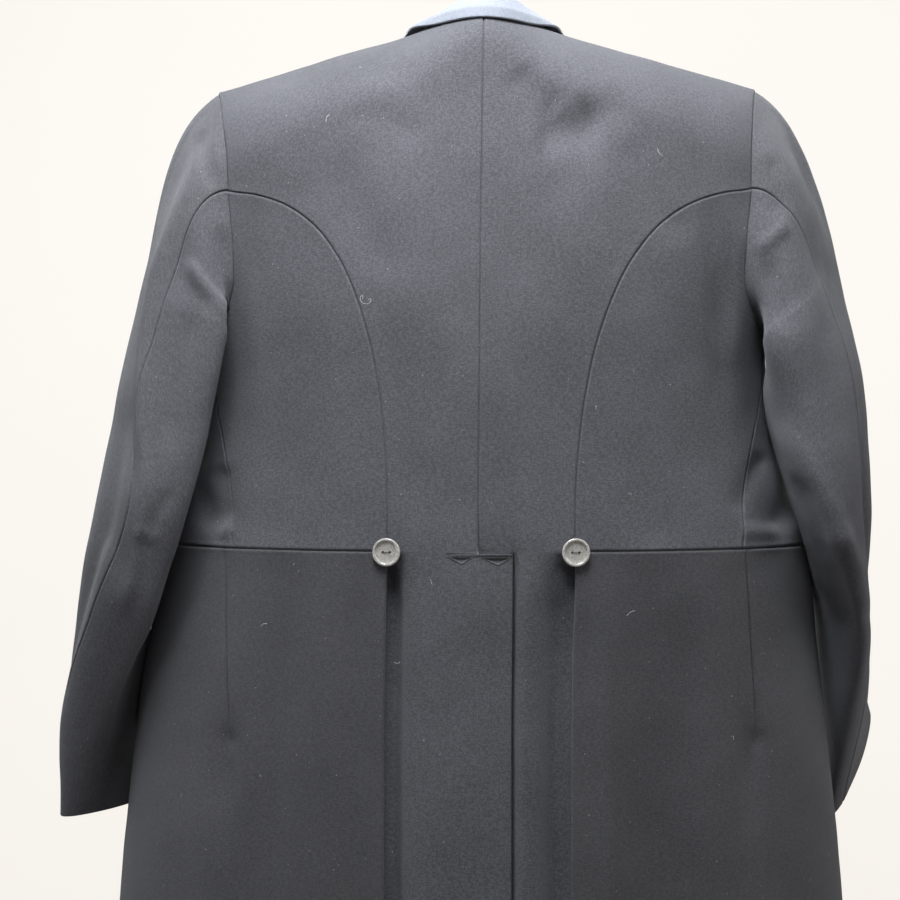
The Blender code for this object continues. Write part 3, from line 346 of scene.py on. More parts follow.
def smooth(knots: Array, values: Array, at: Array | float) -> Array:
    """Soft curve through a table's values.

    Args:
        knots: where each value stands.
        values: the values.
        at: where to read the curve.

    Returns:
        The curve's values.
    """
    order = np.argsort(knots)
    knots, values = knots[order], values[order]
    slope = np.gradient(values, knots)
    at = np.clip(np.asarray(at, float), knots[0], knots[-1])
    i = np.clip(np.searchsorted(knots, at) - 1, 0, len(knots) - 2)
    gap = knots[i + 1] - knots[i]
    t = (at - knots[i]) / gap
    rise = (1 + 2 * t) * (1 - t) ** 2 * values[i] + t * t * (3 - 2 * t) * values[i + 1]
    lean = t * (1 - t) ** 2 * slope[i] - t * t * (1 - t) * slope[i + 1]
    return rise + gap * lean


def unit(vectors: Array) -> Array:
    """Vectors of length one."""
    return vectors / np.maximum(np.linalg.norm(vectors, axis=-1, keepdims=True), 1e-12)


def bell(x: Array) -> Array:
    """A soft bump that is 1 at 0 and fades to both sides."""
    return np.exp(-(x**2))


def lengths(points: Array) -> Array:
    """How far along a line of points each one lies."""
    return np.concatenate([[0], np.cumsum(np.linalg.norm(np.diff(points, axis=0), axis=1))])


def normals(grid: Array) -> Array:
    """Directions square to a grid of points, all to one side of it."""
    return unit(np.cross(np.gradient(grid, axis=1), np.gradient(grid, axis=0)))


def facing(vectors: Array, way: Array) -> Array:
    """Vectors, turned about where they point against another way."""
    return vectors * np.sign((vectors * way).sum(-1, keepdims=True))


def crease_relief(creases: Table, points: Array, run_out: float = 0.12, fade_long: float = 0.3) -> Array:
    """How far creases stand out, seen from behind.

    Args:
        creases: the creases' table.
        points: points of the cloth.
        run_out: how far a crease runs on past its ends, as a share of its length.
        fade_long: share of its length over which it dies out.

    Returns:
        The height of the creases at each point.
    """
    total = np.zeros(points.shape[:-1])
    for x0, z0, x1, z1, bow, wide, rise, skew in zip(*creases.values()):
        along = np.array([x1 - x0, z1 - z0])
        length = float(np.hypot(*along))
        along = along / length
        rel = points[..., [0, 2]] - [x0, z0]
        t = (rel @ along) / length
        aside = rel @ np.array([-along[1], along[0]]) - bow * 4 * t * (1 - t)
        wide_here = wide * np.where(aside > 0, 1 + skew, 1 - 0.6 * skew)
        fade = np.clip((np.minimum(t, 1 - t) + run_out) / fade_long, 0, 1)
        total += rise * fade * fade * (3 - 2 * fade) * bell(aside / wide_here)
    return total


def drape(points: Array, seed: float) -> Array:
    """Slight unevenness of hanging cloth.

    Args:
        points: points of the cloth.
        seed: sets one panel's unevenness apart from another's.

    Returns:
        A small height at each point.
    """
    x, y, z = np.moveaxis(points, -1, 0)
    waves = np.sin(41 * x + 17 * z + seed) * np.sin(23 * z - 13 * x + 2.1 * seed)
    waves = waves + 0.6 * np.sin(73 * x - 31 * z + 3.3 * seed + 20 * y) * np.sin(37 * z + 1.7 * seed)
    return waves + 0.3 * np.sin(137 * x + 59 * z + 0.7 * seed) * np.sin(91 * z - 47 * x + 20 * y)


@dataclass(frozen=True)
class BodyForm:
    """The shared body surface, read by an angle from the centre back and a place down the cloth.

    Place 0 is the shoulder line and place 1 is where the cloth has rolled over to hang down.
    """

    sizes: Table = field(default_factory=lambda: FORM)
    folds: Table = field(default_factory=lambda: FOLDS)
    flares: Table = field(default_factory=lambda: FLARES)
    crest_top: float = 0.0171
    crest_slope: float = 0.283
    crest_soft: float = 0.03
    crest_depth: float = 0.015
    neck_rise: float = 0.022
    neck_wide: float = 0.033
    roll_least: float = 0.06
    roll_grow: float = 0.105
    centre_wide: float = 0.12
    flare_long: float = 0.3
    flat_at_waist: float = 0.02

    def size(self, name: str, height: Array) -> Array:
        """One size of the form at a height."""
        return smooth(self.sizes["height"], self.sizes[name], height)

    def crest(self, out: Array) -> Array:
        """Height of the shoulder line at a distance out from the centre."""
        soft = np.sqrt(out**2 + self.crest_soft**2)
        return self.crest_top - self.crest_slope * soft + self.neck_rise * bell(out / self.neck_wide)

    def roll(self, out: Array) -> Array:
        """Height over which the cloth rolls from the shoulder line to the back."""
        return self.roll_least + self.roll_grow * out

    def out_at(self, turn: Array, height: Array) -> Array:
        """Distance out from the centre, at an angle around the form and a height."""
        power = 2 / self.size("square", height)
        return self.size("half", height) * np.abs(np.sin(np.radians(turn))) ** power

    def fall(self, out: Array, height: Array) -> Array:
        """Place down the cloth of a point, from its distance out and its height."""
        reach = self.roll(out)
        drop = np.maximum(self.crest(out) - height, 0)
        inside = np.degrees(np.arccos(np.clip(1 - drop / reach, -1, 1))) / 90
        return np.where(drop < reach, inside, 1 + (drop - reach) / (reach * np.pi / 2))

    def turn_at(self, out: Array, height: Array, front: bool = False) -> Array:
        """Angle from the centre back of a point, from its distance out and its height."""
        share = np.clip(np.abs(out) / self.size("half", height), 0, 1)
        turn = np.degrees(np.arcsin(share ** (self.size("square", height) / 2)))
        return 180 - turn if front else turn

    def place(self, turn: Array, down: Array) -> Array:
        """Point of the smooth form from its angle and its place down.

        Args:
            turn: angles from the centre back.
            down: places down the cloth.

        Returns:
            The points.
        """
        turn, down = np.broadcast_arrays(np.asarray(turn, float), np.asarray(down, float))
        height = np.full(turn.shape, -0.3)
        for _ in range(8):
            out = self.out_at(turn, height)
            reach = self.roll(out)
            drop = reach * (1 - np.cos(np.pi / 2 * np.minimum(down, 1)))
            height = self.crest(out) - drop - reach * np.pi / 2 * np.maximum(down - 1, 0)
        over = np.cos(np.radians(turn))
        bow = np.abs(over) ** (2 / self.size("square", height))
        side = self.size("side", height)
        y = side + (np.where(over >= 0, self.size("back", height), self.size("front", height)) - side) * bow
        y = self.crest_depth + (y - self.crest_depth) * np.sin(np.pi / 2 * np.minimum(down, 1))
        lean = self.size("lean", height)
        lean = lean + (self.size("centre", height) - lean) * bell(out / self.centre_wide)
        return np.stack([np.sign(turn) * out + lean, y, height], -1)

    def relief(self, points: Array, turn: Array) -> Array:
        """How far the soft folds stand out at each point."""
        total = np.zeros(points.shape[:-1])
        back = np.abs(turn) < 88
        for out, height, lean_deg, long, wide, rise in zip(*self.folds.values()):
            lean = np.radians(lean_deg)
            dx, dz = points[..., 0] - out, points[..., 2] - height
            across = dx * np.cos(lean) + dz * np.sin(lean)
            along = dz * np.cos(lean) - dx * np.sin(lean)
            total += np.where(back, rise * np.exp(-((across / wide) ** 2) - (along / long) ** 2), 0)
        for at, start, wave, rise in zip(*self.flares.values()):
            grow = np.clip((start - points[..., 2]) / self.flare_long, 0, 1)
            total += rise * grow**1.5 * bell((turn - at) / wave)
        return total * np.clip(np.abs(points[..., 2] - WAIST) / self.flat_at_waist, 0, 1)

    def skin(self, turn: Array, down: Array) -> tuple[Array, Array]:
        """Points of the folded form and its outward directions.

        Args:
            turn: angles from the centre back, in degrees.
            down: places down the cloth.

        Returns:
            The points, and the direction out of the cloth at each.
        """
        turn, down = np.broadcast_arrays(np.asarray(turn, float), np.asarray(down, float))
        points = self.place(turn, down)
        around = self.place(turn + 0.2, down) - self.place(turn - 0.2, down)
        along = self.place(turn, down + 0.004) - self.place(turn, np.maximum(down - 0.004, 0))
        out = unit(np.cross(around, along))
        return points + out * self.relief(points, turn)[..., None], out

    def knots(self, seam: Table, side: Side) -> Array:
        """A seam table as angles and places down the cloth."""
        height = seam["height"]
        turn = seam["turn"] if "turn" in seam else self.turn_at(seam["out"], height)
        return np.stack([side.value * turn, self.fall(self.out_at(turn, height), height)], -1)

    def line(self, knots: Array) -> EdgeLine:
        """A soft line on the form, read by its share of length.

        Args:
            knots: angles and places down that it passes.

        Returns:
            A function from shares between 0 and 1 to angles and places down.
        """
        length = lengths(self.place(knots[:, 0], knots[:, 1]))
        fine = np.linspace(0, length[-1], 40 * (len(knots) - 1) + 1)
        dense = np.stack([smooth(length, knots[:, i], fine) for i in (0, 1)], -1)
        far = lengths(self.place(dense[:, 0], dense[:, 1]))
        return lambda share: np.stack([np.interp(share * far[-1], far, dense[:, i]) for i in (0, 1)], -1)

    def level(self, side: Side, turns: Callable[[Array], Array], height: float) -> EdgeLine:
        """A line round the form at one height, its angles given by share."""
        return lambda share: np.stack(
            [side.value * turns(share), self.fall(self.out_at(turns(share), height), height)], -1
        )


def joined(*parts: tuple[EdgeLine, int]) -> EdgeLine:
    """Lines laid end to end, each with its part of the whole.

    Args:
        parts: each line with its weight.

    Returns:
        One line read by its share.
    """
    ends = np.cumsum([0] + [weight for _, weight in parts]) / sum(weight for _, weight in parts)

    def at(share: Array) -> Array:
        """Points of the joined line."""
        which = np.clip(np.searchsorted(ends, share, side="right") - 1, 0, len(parts) - 1)
        result = np.zeros((*share.shape, 2))
        for k, (line, _) in enumerate(parts):
            here = which == k
            result[here] = line((share[here] - ends[k]) / (ends[k + 1] - ends[k]))
        return result

    return at


def patch(bottom: EdgeLine, top: EdgeLine, first: EdgeLine, last: EdgeLine, u: Array, v: Array) -> Array:
    """Angles and places of a panel between its four edges.

    Args:
        bottom: edge at v = 0.
        top: edge at v = 1.
        first: edge at u = 0.
        last: edge at u = 1.
        u: shares across, or a row of them for each v.
        v: shares up.

    Returns:
        A grid with a row for each v and a column for each u.
    """
    u = np.atleast_2d(u)
    b, t, f, e = bottom(u), top(u), first(v)[:, None], last(v)[:, None]
    uu, vv = u[..., None], v[:, None, None]
    ruled = (1 - vv) * b + vv * t + (1 - uu) * f + uu * e
    low = (1 - uu) * b[:1, :1] + uu * b[:1, -1:]
    high = (1 - uu) * t[:1, :1] + uu * t[:1, -1:]
    return ruled - (1 - vv) * low - vv * high


# Places of the closest steps, from an edge inwards
EDGE_STEPS = np.array([0, 0.0003, 0.0007, 0.0012, 0.0019, 0.0028, 0.0042])
EDGE_REACH = 0.0065


def steps(length: float, step: float, extra: tuple[float, ...] = ()) -> Array:
    """Shares of an edge, close together near its ends and near any share in extra.

    Args:
        length: the edge's length.
        step: space between the shares elsewhere.
        extra: shares that need close steps on both sides.

    Returns:
        Rising shares from 0 to 1.
    """
    count = max(2, int(round((length - 2 * EDGE_REACH) / step)) + 1)
    middle = np.linspace(EDGE_REACH, length - EDGE_REACH, count)
    spots = np.concatenate([EDGE_STEPS, middle, length - EDGE_STEPS[::-1]])
    for share in extra:
        close = share * length + np.linspace(-0.01, 0.01, 27)
        spots = np.concatenate([spots[np.abs(spots - share * length) > 0.0105], close])
    return np.unique(np.clip(np.sort(spots) / length, 0, 1))


ALL_SEWN = dict.fromkeys(("bottom", "top", "first", "last"), Finish.SEAM)


@dataclass
class Sheet:
    """A grid of cloth: its outer points, the directions out of it, and its wall."""

    points: Array
    out: Array
    wall: float = CLOTH
    inner: Array | None = None
    sink: Array | None = None
    groove: tuple[float, float] = (0.0012, 0.0007)
    ridge: tuple[float, float, float] = (0.00025, 0.0024, 0.0011)
    allowance: tuple[float, float, float] = (0.00024, 0.009, 0.003)
    turned_in: tuple[float, float] = (0.0006, 0.0011)
    soft_rise: float = 0.003

    def seam_sink(self, far: Array) -> Array:
        """How deep a sewn edge lies: its groove, the ridge beside it and the raised allowance behind."""
        deep, wide = self.groove
        rise, at, reach = self.ridge
        lift, end, fade = self.allowance
        ridge = rise * bell((far - at) / reach)
        return deep * bell(far / wide) - ridge - lift * (1 - np.clip((far - end) / fade, 0, 1))

    def distances(self, edge: str) -> Array:
        """Distance of each point from one edge of the grid, along the cloth."""
        axis = 1 if edge in ("first", "last") else 0
        flip = edge in ("last", "top")
        points = np.flip(self.points, axis) if flip else self.points
        gaps = np.linalg.norm(np.diff(points, axis=axis), axis=-1)
        start = np.zeros_like(gaps[:, :1] if axis else gaps[:1])
        length = np.concatenate([start, np.cumsum(gaps, axis=axis)], axis=axis)
        return np.flip(length, axis) if flip else length

    def finish(self, edges: dict[str, Finish], soft_bottom: bool = False) -> "Sheet":
        """Roll or turn each named edge.

        Args:
            edges: the edges' names and how each is made.
            soft_bottom: whether the rolls die out at the grid's first row.

        Returns:
            The sheet itself.
        """
        deep, wide = self.turned_in
        depth = np.zeros(self.points.shape[:-1])
        for edge, kind in edges.items():
            far = self.distances(edge)
            depth += self.seam_sink(far) if kind is Finish.SEAM else deep * np.clip(1 - far / wide, 0, 1) ** 2
        if soft_bottom:
            depth = depth * np.clip(self.distances("bottom") / self.soft_rise, 0, 1)
        self.sink = depth if self.sink is None else self.sink + depth
        return self

    def turned(self) -> "Sheet":
        """The sheet with its rows in the other order."""
        self.points, self.out, self.sink = self.points[::-1], self.out[::-1], self.sink[::-1]
        return self

    def faces_of(self) -> tuple[Array, Array]:
        """Outer and inner points, the edges rolled in."""
        outer = self.points if self.sink is None else self.points - self.out * self.sink[..., None]
        inner = self.inner if self.inner is not None else self.points - self.out * (self.wall + FACES_APART)
        return outer, inner


def placed(name: str, data: bpy.types.ID) -> Piece:
    """A new object in the scene, from its mesh, lamp or camera."""
    piece = bpy.data.objects.new(name, data)
    bpy.context.scene.collection.objects.link(piece)
    return piece


def solid(name: str, shape: bmesh.types.BMesh) -> Piece:
    """An object made from a bmesh."""
    mesh = bpy.data.meshes.new(name)
    shape.to_mesh(mesh)
    shape.free()
    return placed(name, mesh)


def baked(piece: Piece) -> None:
    """Turn what a piece's modifiers make into its plain mesh."""
    graph = bpy.context.evaluated_depsgraph_get()
    mesh = bpy.data.meshes.new_from_object(piece.evaluated_get(graph))
    piece.modifiers.clear()
    piece.data = mesh


def close_tube(made: bmesh.types.BMesh, rings: Rings) -> None:
    """A tube from ring to ring of corners, with a cap at each end.

    Args:
        made: the mesh it is added to.
        rings: the corners, as many in each ring.
    """
    count = len(rings[0])
    rings = [[made.verts.new(corner) for corner in ring] for ring in rings]
    for one, two in zip(rings, rings[1:]):
        for k in range(count):
            made.faces.new((one[k], one[(k + 1) % count], two[(k + 1) % count], two[k]))
    made.faces.new(rings[0][::-1])
    made.faces.new(rings[-1])
    bmesh.ops.recalc_face_normals(made, faces=made.faces)


def shell(name: str, sheets: list[Sheet]) -> Piece:
    """One closed thin shell over sheets that share their meeting points.

    Args:
        name: the piece's name.
        sheets: the grids.

    Returns:
        The piece, with a UV map in metres of cloth and smooth faces.
    """
    outs, inns, uvs, quads, base = [], [], [], [], 0
    for sheet in sheets:
        outer, inner = sheet.faces_of()
        rows, cols = outer.shape[:2]
        across, up = sheet.distances("first"), sheet.distances("bottom")
        outs.append(outer.reshape(-1, 3))
        inns.append(inner.reshape(-1, 3))
        uvs.append(np.stack([across - across[:, cols // 2 : cols // 2 + 1].mean(), up], -1).reshape(-1, 2))
        index = np.arange(rows * cols).reshape(rows, cols) + base
        corners = index[:-1, :-1], index[:-1, 1:], index[1:, 1:], index[1:, :-1]
        quads.append(np.stack(corners, -1).reshape(-1, 4))
        base += rows * cols
    outs, inns, uvs, quads = (np.concatenate(part) for part in (outs, inns, uvs, quads))
    _, keep, merged = np.unique(np.round(outs, 7), axis=0, return_index=True, return_inverse=True)
    merged = merged.reshape(-1)
    quads = merged[quads]
    outs, inns, uvs = outs[keep], inns[keep], uvs[keep]
    count = len(outs)
    pairs = np.concatenate([quads[:, [0, 1]], quads[:, [1, 2]], quads[:, [2, 3]], quads[:, [3, 0]]])
    codes = pairs[:, 0].astype(np.int64) * count + pairs[:, 1]
    back = pairs[:, 1].astype(np.int64) * count + pairs[:, 0]
    rim = pairs[~np.isin(codes, back)]
    rim_faces = np.stack([rim[:, 1], rim[:, 0], rim[:, 0] + count, rim[:, 1] + count], -1)
    faces = np.concatenate([quads, quads[:, ::-1] + count, rim_faces])
    verts = np.concatenate([outs, inns])
    tri = verts[faces[:, :3]]
    other = verts[faces[:, [0, 2, 3]]]
    volume = sum(np.einsum("ij,ij->i", t[:, 0], np.cross(t[:, 1], t[:, 2])).sum() for t in (tri, other))
    if volume < 0:
        faces = faces[:, ::-1]
    mesh = bpy.data.meshes.new(name)
    mesh.from_pydata(verts.tolist(), [], faces.tolist())
    layer = mesh.uv_layers.new(name="cloth")
    loops = np.zeros(len(mesh.loops), np.int32)
    mesh.loops.foreach_get("vertex_index", loops)
    layer.data.foreach_set("uv", np.concatenate([uvs, uvs])[loops].astype(np.float32).ravel())
    mesh.shade_smooth()
    mesh.set_sharp_from_angle(angle=np.radians(50))
    mesh.update()
    return placed(name, mesh)


@dataclass
class ClothPiece:
    """One cut piece of cloth: its node, its flat size and how it is held."""

    node: str
    flat: tuple[float, float]
    area: float
    held: str = "hung"

    def dress(self, sheets: list[Sheet], finish: Material) -> None:
        """Make its shell, give it its finish, attach it to the root and hide the part it stands in for.

        Args:
            sheets: the grids of its shell.
            finish: its material.
        """
        piece = shell(f"cloth_{self.node}", sheets)
        piece.data.materials.append(finish)
        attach(piece, "root")
        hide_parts(self.node)
        log.info("%s: %d faces", piece.name, len(piece.data.polygons))


@dataclass
class Panels:
    """Shared ways of the coat's panels: their lines on the form, and their creased, slightly uneven skin."""

    form: BodyForm = field(default_factory=BodyForm)
    step: float = 0.0038
    uneven: float = 0.0005
    drape_seed: float = 1.3
    back_strength: float = 1.3
    back_creases: tuple[Table, ...] = field(default_factory=lambda: (BODY_CREASES, SKIRT_CREASES))
    front_creases: Table = field(default_factory=lambda: FRONT_CREASES)

    def surface(self, turn: Array, down: Array) -> Sheet:
        """Creased cloth at a grid of angles from the centre back and places down."""
        points, out = self.form.skin(turn, down)
        return Sheet(points + out * self.lift(points, out)[..., None], out)

    def lift(self, points: Array, out: Array) -> Array:
        """How far the creases and unevenness stand out at points of the form."""
        behind = np.clip(out[..., 1] * 4, 0, 1)
        ahead = np.clip(-out[..., 1] * 4, 0, 1)
        rise = self.uneven * drape(points, self.drape_seed)
        for creases in self.back_creases:
            rise = rise + self.back_strength * behind * crease_relief(creases, points)
        rise = rise + ahead * crease_relief(self.front_creases, points)
        rise = rise + behind * crease_relief(DARTS, points) * np.clip((WAIST - points[..., 2]) / 0.004, 0, 1)
        for x, z, wide, dip in zip(*DART_ENDS.values()):
            away = np.hypot(points[..., 0] - x, points[..., 2] - z)
            rise = rise + behind * dip * bell(away / wide)
        return rise

    def seam(self, seam: Table, side: Side) -> EdgeLine:
        """A seam's line on one side."""
        return self.form.line(self.form.knots(seam, side))

    def neck(self, side: Side) -> EdgeLine:
        """The neck seam of a back, from the centre to the shoulder line."""
        out = np.linspace(0, NECK_HALF, 9)
        height = NAPE + (self.form.crest(NECK_HALF) - NAPE) * (out / NECK_HALF) ** 2
        knots = np.stack([side.value * self.form.turn_at(out, height), self.form.fall(out, height)], -1)
        knots[-1, 1] = 0
        return self.form.line(knots)

    def shoulder(self, side: Side, front: bool = False) -> EdgeLine:
        """The shoulder seam, from the neck point out to the armhole."""
        out = np.linspace(NECK_HALF, SHOULDER_HALF, 5)
        turn = self.form.turn_at(out, self.form.crest(out), front)
        return self.form.line(np.stack([side.value * turn, 0 * turn], -1))

    def scye_back(self, side: Side) -> EdgeLine:
        """Armhole edge of a back, from the side seam up to the shoulder."""
        knots = self.form.knots(SCYE_BACK, side)[::-1]
        knots[-1] = self.shoulder(side)(np.array([1.0]))[0]
        return self.form.line(knots)

    def scye_under(self, side: Side) -> EdgeLine:
        """Armhole edge of a side body, from the back seam to the underarm seam."""
        knots = self.form.knots(SCYE_UNDER, side)
        knots[0] = self.form.knots(SCYE_BACK, side)[-1]
        return self.form.line(knots)

    def scye_front(self, side: Side) -> EdgeLine:
        """Armhole edge of a forepart, from the underarm seam round to the shoulder."""
        tip = self.shoulder(side, True)(np.array([1.0]))
        return self.form.line(np.concatenate([self.form.knots(SCYE_FRONT, side), tip]))

    def front_up(self, side: Side) -> EdgeLine:
        """Front edge above the turn of the lapel, up to the neck."""
        tip = self.shoulder(side, True)(np.array([0.0]))
        return self.form.line(np.concatenate([self.form.knots(FRONT_EDGE, side), tip]))

    def waist(self, side: Side, start: float = SIDE_WAIST[0]) -> EdgeLine:
        """The waist seam, from near the side-back seam by the underarm seam to the front edge."""
        sides = self.form.turn_at(np.array([start, *SIDE_WAIST[1:]]), np.full(SIDE_WAIST.shape, WAIST))
        fronts = np.linspace(sides[-1], FRONT_LOW["turn"][0], FORE_COLS + 1)
        turns = np.concatenate([sides, fronts[1:]])
        index = np.linspace(0, 1, len(turns))
        return self.form.level(side, lambda share: np.interp(share, index, turns), WAIST)

    @staticmethod
    def part(line: EdgeLine, start: float, end: float) -> EdgeLine:
        """A part of a line, between two shares of it."""
        return lambda share: line(start + share * (end - start))


@dataclass
class PairedPanel(Panels):
    """A panel cut once for each side."""

    name: str = ""
    flat: tuple[float, float] = (0, 0)
    area: float = 0
    held: str = "hung"

    def build(self, finish: Material) -> None:
        """Build and dress the piece of each side in its cloth."""
        for side in Side:
            piece = ClothPiece(f"{self.name}_{side.word}", self.flat, self.area, self.held)
            piece.dress(self.sheets(side), finish)

    def sheets(self, side: Side) -> list[Sheet]:
        """The grids of one side's piece."""
        raise NotImplementedError


@dataclass
class Backs(PairedPanel):
    """The two backs, each cut in one with its tail, from the nape to the hem."""

    name: str = "back"
    flat: tuple[float, float] = (0.26, 1.08)
    area: float = 0.15
    across: float = 0.105
    high: float = 0.45
    column: float = 0.0026
    row: float = 0.0045
    grow_long: float = 0.05
    vent_at: float = 0.029
    vent_deep: float = 0.0028
    vent_fade: tuple[float, float, float] = (0.037, 0.0076, 0.09)
    groove: tuple[float, float] = (0.0055, 0.002)
    lip: tuple[float, float, float] = (0.002, 0.0375, 0.006)
    hook: tuple[float, float] = (0.001, 0.0016)
    hook_rows: int = 15
    tack_deep: float = 0.001
    tack_slope: float = 0.003
    tack_edge: tuple[float, float] = (0.0004, 0.001)
    pleat_deep: float = 0.0088
    valley: dict[Side, Point] = field(
        default_factory=lambda: {Side.LEFT: (0.068, 0.0085, 0.0082), Side.RIGHT: (0.0635, 0.0095, 0.0092)}
    )

    def sheets(self, side: Side) -> list[Sheet]:
        """The part above the waist, and the three of the tail."""
        upper, outs = self.upper(side)
        return [upper, *self.tail(side, upper, outs)]

    def upper(self, side: Side) -> tuple[Sheet, Array]:
        """The part above the waist.

        Args:
            side: which back.

        Returns:
            The sheet, and how far out its columns lie at the waist.
        """
        u = np.union1d(steps(self.across, self.column, (0.3,)), [NECK_COLS / (NECK_COLS + SHOULDER_COLS)])
        v = np.union1d(steps(self.high, self.step), [SEAM_ROWS / (SEAM_ROWS + BLADE_ROWS)])
        outs = np.full(BACK_WAIST.shape, WAIST)
        turns = self.form.turn_at(BACK_WAIST, outs)
        index = np.linspace(0, 1, len(turns))
        low = self.form.level(side, lambda share: np.interp(share, index, turns), WAIST)
        zero = 1e-4 * side.value

        def centre(bottom: float, top: float) -> EdgeLine:
            """A part of the centre-back seam."""
            heights = np.linspace(bottom, top, 5)
            return self.form.line(np.array([[zero, self.form.fall(0.0, z)] for z in heights]))

        first = joined((centre(WAIST, BLADE_SPLIT), SEAM_ROWS), (centre(BLADE_SPLIT, NAPE), BLADE_ROWS))
        seam = self.seam(SIDE_BACK, side)
        last = joined((seam, SEAM_ROWS), (self.scye_back(side), BLADE_ROWS))
        top = joined((self.neck(side), NECK_COLS), (self.shoulder(side), SHOULDER_COLS))
        grid = patch(low, top, first, last, u, v)
        sheet = self.surface(grid[..., 0], grid[..., 1])
        outs = np.interp(u, index, BACK_WAIST)
        if side is Side.RIGHT:
            edge, wide, high = self.vent_fade
            drop = self.vent_deep * np.clip((edge - outs) / wide, 0, 1)
            rows = np.clip(1 - v / high, 0, 1) ** 2
            sheet.points = sheet.points - sheet.out * (rows[:, None] * drop[None])[..., None]
        sheet.finish(dict.fromkeys(("first", "last", "top"), Finish.SEAM), soft_bottom=True)
        return sheet, outs

    def tail(self, side: Side, upper: Sheet, outs: Array) -> list[Sheet]:
        """The tail below the waist: its middle, its vent lap and its part under the pleat.

        Args:
            side: which back.
            upper: the sheet above the waist.
            outs: how far out its columns lie there.

        Returns:
            The three sheets, their rows from the hem up.
        """
        start = WAIST - PLEAT_START
        fine = np.linspace(WAIST - HOOK_DROP, start, self.hook_rows + 1)
        coarse = np.linspace(start, HEM + 0.006, int((start - HEM) / self.row))[1:]
        heights = np.concatenate([fine, coarse, HEM + np.array([0.004, 0.0026, 0.0016, 0.0009, 0.0004, 0])])
        columns = outs.copy()
        columns[-1] -= 0.0002
        middle = self.block(side, columns, heights)
        reach = VENT_LAP if side is Side.LEFT else UNDERLAP
        lap = self.block(side, -reach * (1 - steps(reach, 0.002)[:-1]), heights)
        under = PLEAT_RETURN - 0.003
        tuck = self.block(side, PLEAT + under * steps(under, 0.003)[1:], heights[self.hook_rows :])
        lap.points = np.concatenate([lap.points, middle.points[:, :1]], 1)
        lap.out = np.concatenate([lap.out, middle.out[:, :1]], 1)
        tuck.points = np.concatenate([middle.points[self.hook_rows :, -1:], tuck.points], 1)
        tuck.out = np.concatenate([middle.out[self.hook_rows :, -1:], tuck.out], 1)
        for part in (middle, lap, tuck):
            part.sink = np.zeros(part.points.shape[:-1])
            part.finish({"top": Finish.FREE})
        lap.finish({"first": Finish.FREE})
        middle.points = np.concatenate([upper.points[:1], middle.points])
        middle.out = np.concatenate([upper.out[:1], middle.out])
        middle.sink = np.concatenate([upper.sink[:1], middle.sink])
        return [part.turned() for part in (middle, lap, tuck)]

    def block(self, side: Side, columns: Array, heights: Array) -> Sheet:
        """Part of a tail at distances out from the centre and heights, sunk where it lies under."""
        out, height = np.meshgrid(columns, heights)
        turn = np.sign(out) * side.value * self.form.turn_at(out, height)
        sheet = self.surface(turn, self.form.fall(np.abs(out), height))
        sheet.points = sheet.points - sheet.out * self.depth(side, out, height)[..., None]
        return sheet

    def depth(self, side: Side, out: Array, height: Array) -> Array:
        """How far a tail lies under the form, at a distance out from the centre."""
        start = np.clip((WAIST - height) / PLEAT_START, 0, 1)
        near = np.clip((out - BACK_WAIST[7]) / (BACK_WAIST[10] - BACK_WAIST[7]), 0, 1)
        depth = self.pleat_deep * near**2 * (3 - 2 * near) * start
        centre, wide, deep = self.valley[side]
        grow = np.clip((WAIST - height) / self.grow_long, 0, 1)
        depth = depth + deep * grow * bell((out - centre) / wide)
        if side is Side.RIGHT:
            edge = (BACK_WAIST[4] - out) / (BACK_WAIST[4] - BACK_WAIST[3])
            deep, wide = self.groove
            rise, ridge, reach = self.lip
            depth = depth + self.vent_deep * np.clip(edge, 0, 1)
            depth = depth + deep * start * bell((out - self.vent_at) / wide)
            return depth - rise * grow * bell((out - ridge) / reach)
        return depth + self.pressed(out + self.form.size("centre", height), height)

    def pressed(self, x: Array, height: Array) -> Array:
        """How deep the vent's stitched end is pressed in: two tacks below a rolled edge."""
        rise, high = self.hook
        above, soft = self.tack_edge
        fade = np.clip((self.vent_at - x) / self.vent_at, 0, 1)
        deep = -rise * fade * bell((height - WAIST + HOOK_DROP) / high)
        for left, right, base, apex, low in zip(*TACKS.values()):
            share = np.clip((height - low) / (base - low), 0, 1)
            inside = np.minimum(apex + (left - apex) * share - x, x - apex - (right - apex) * share)
            below = np.clip((base + above - height) / soft, 0, 1)
            deep = deep + self.tack_deep * np.clip(inside / self.tack_slope, 0, 1) * below
        return deep


@dataclass
class SideBodies(PairedPanel):
    """The two side bodies, between the curved back seam and the underarm seam."""

    name: str = "side_body"
    flat: tuple[float, float] = (0.175, 0.36)
    area: float = 0.045
    across: float = 0.13
    high: float = 0.32

    def sheets(self, side: Side) -> list[Sheet]:
        """One side body."""
        u, v = steps(self.across, self.step), steps(self.high, self.step)
        seam = self.seam(SIDE_BACK, side)
        arm = self.seam(UNDERARM, side)
        low = self.part(self.waist(side), 0, SIDE_COLS / (SIDE_COLS + FORE_COLS))
        grid = patch(low, self.scye_under(side), seam, arm, u, v)
        sheet = self.surface(grid[..., 0], grid[..., 1])
        return [sheet.finish(ALL_SEWN)]


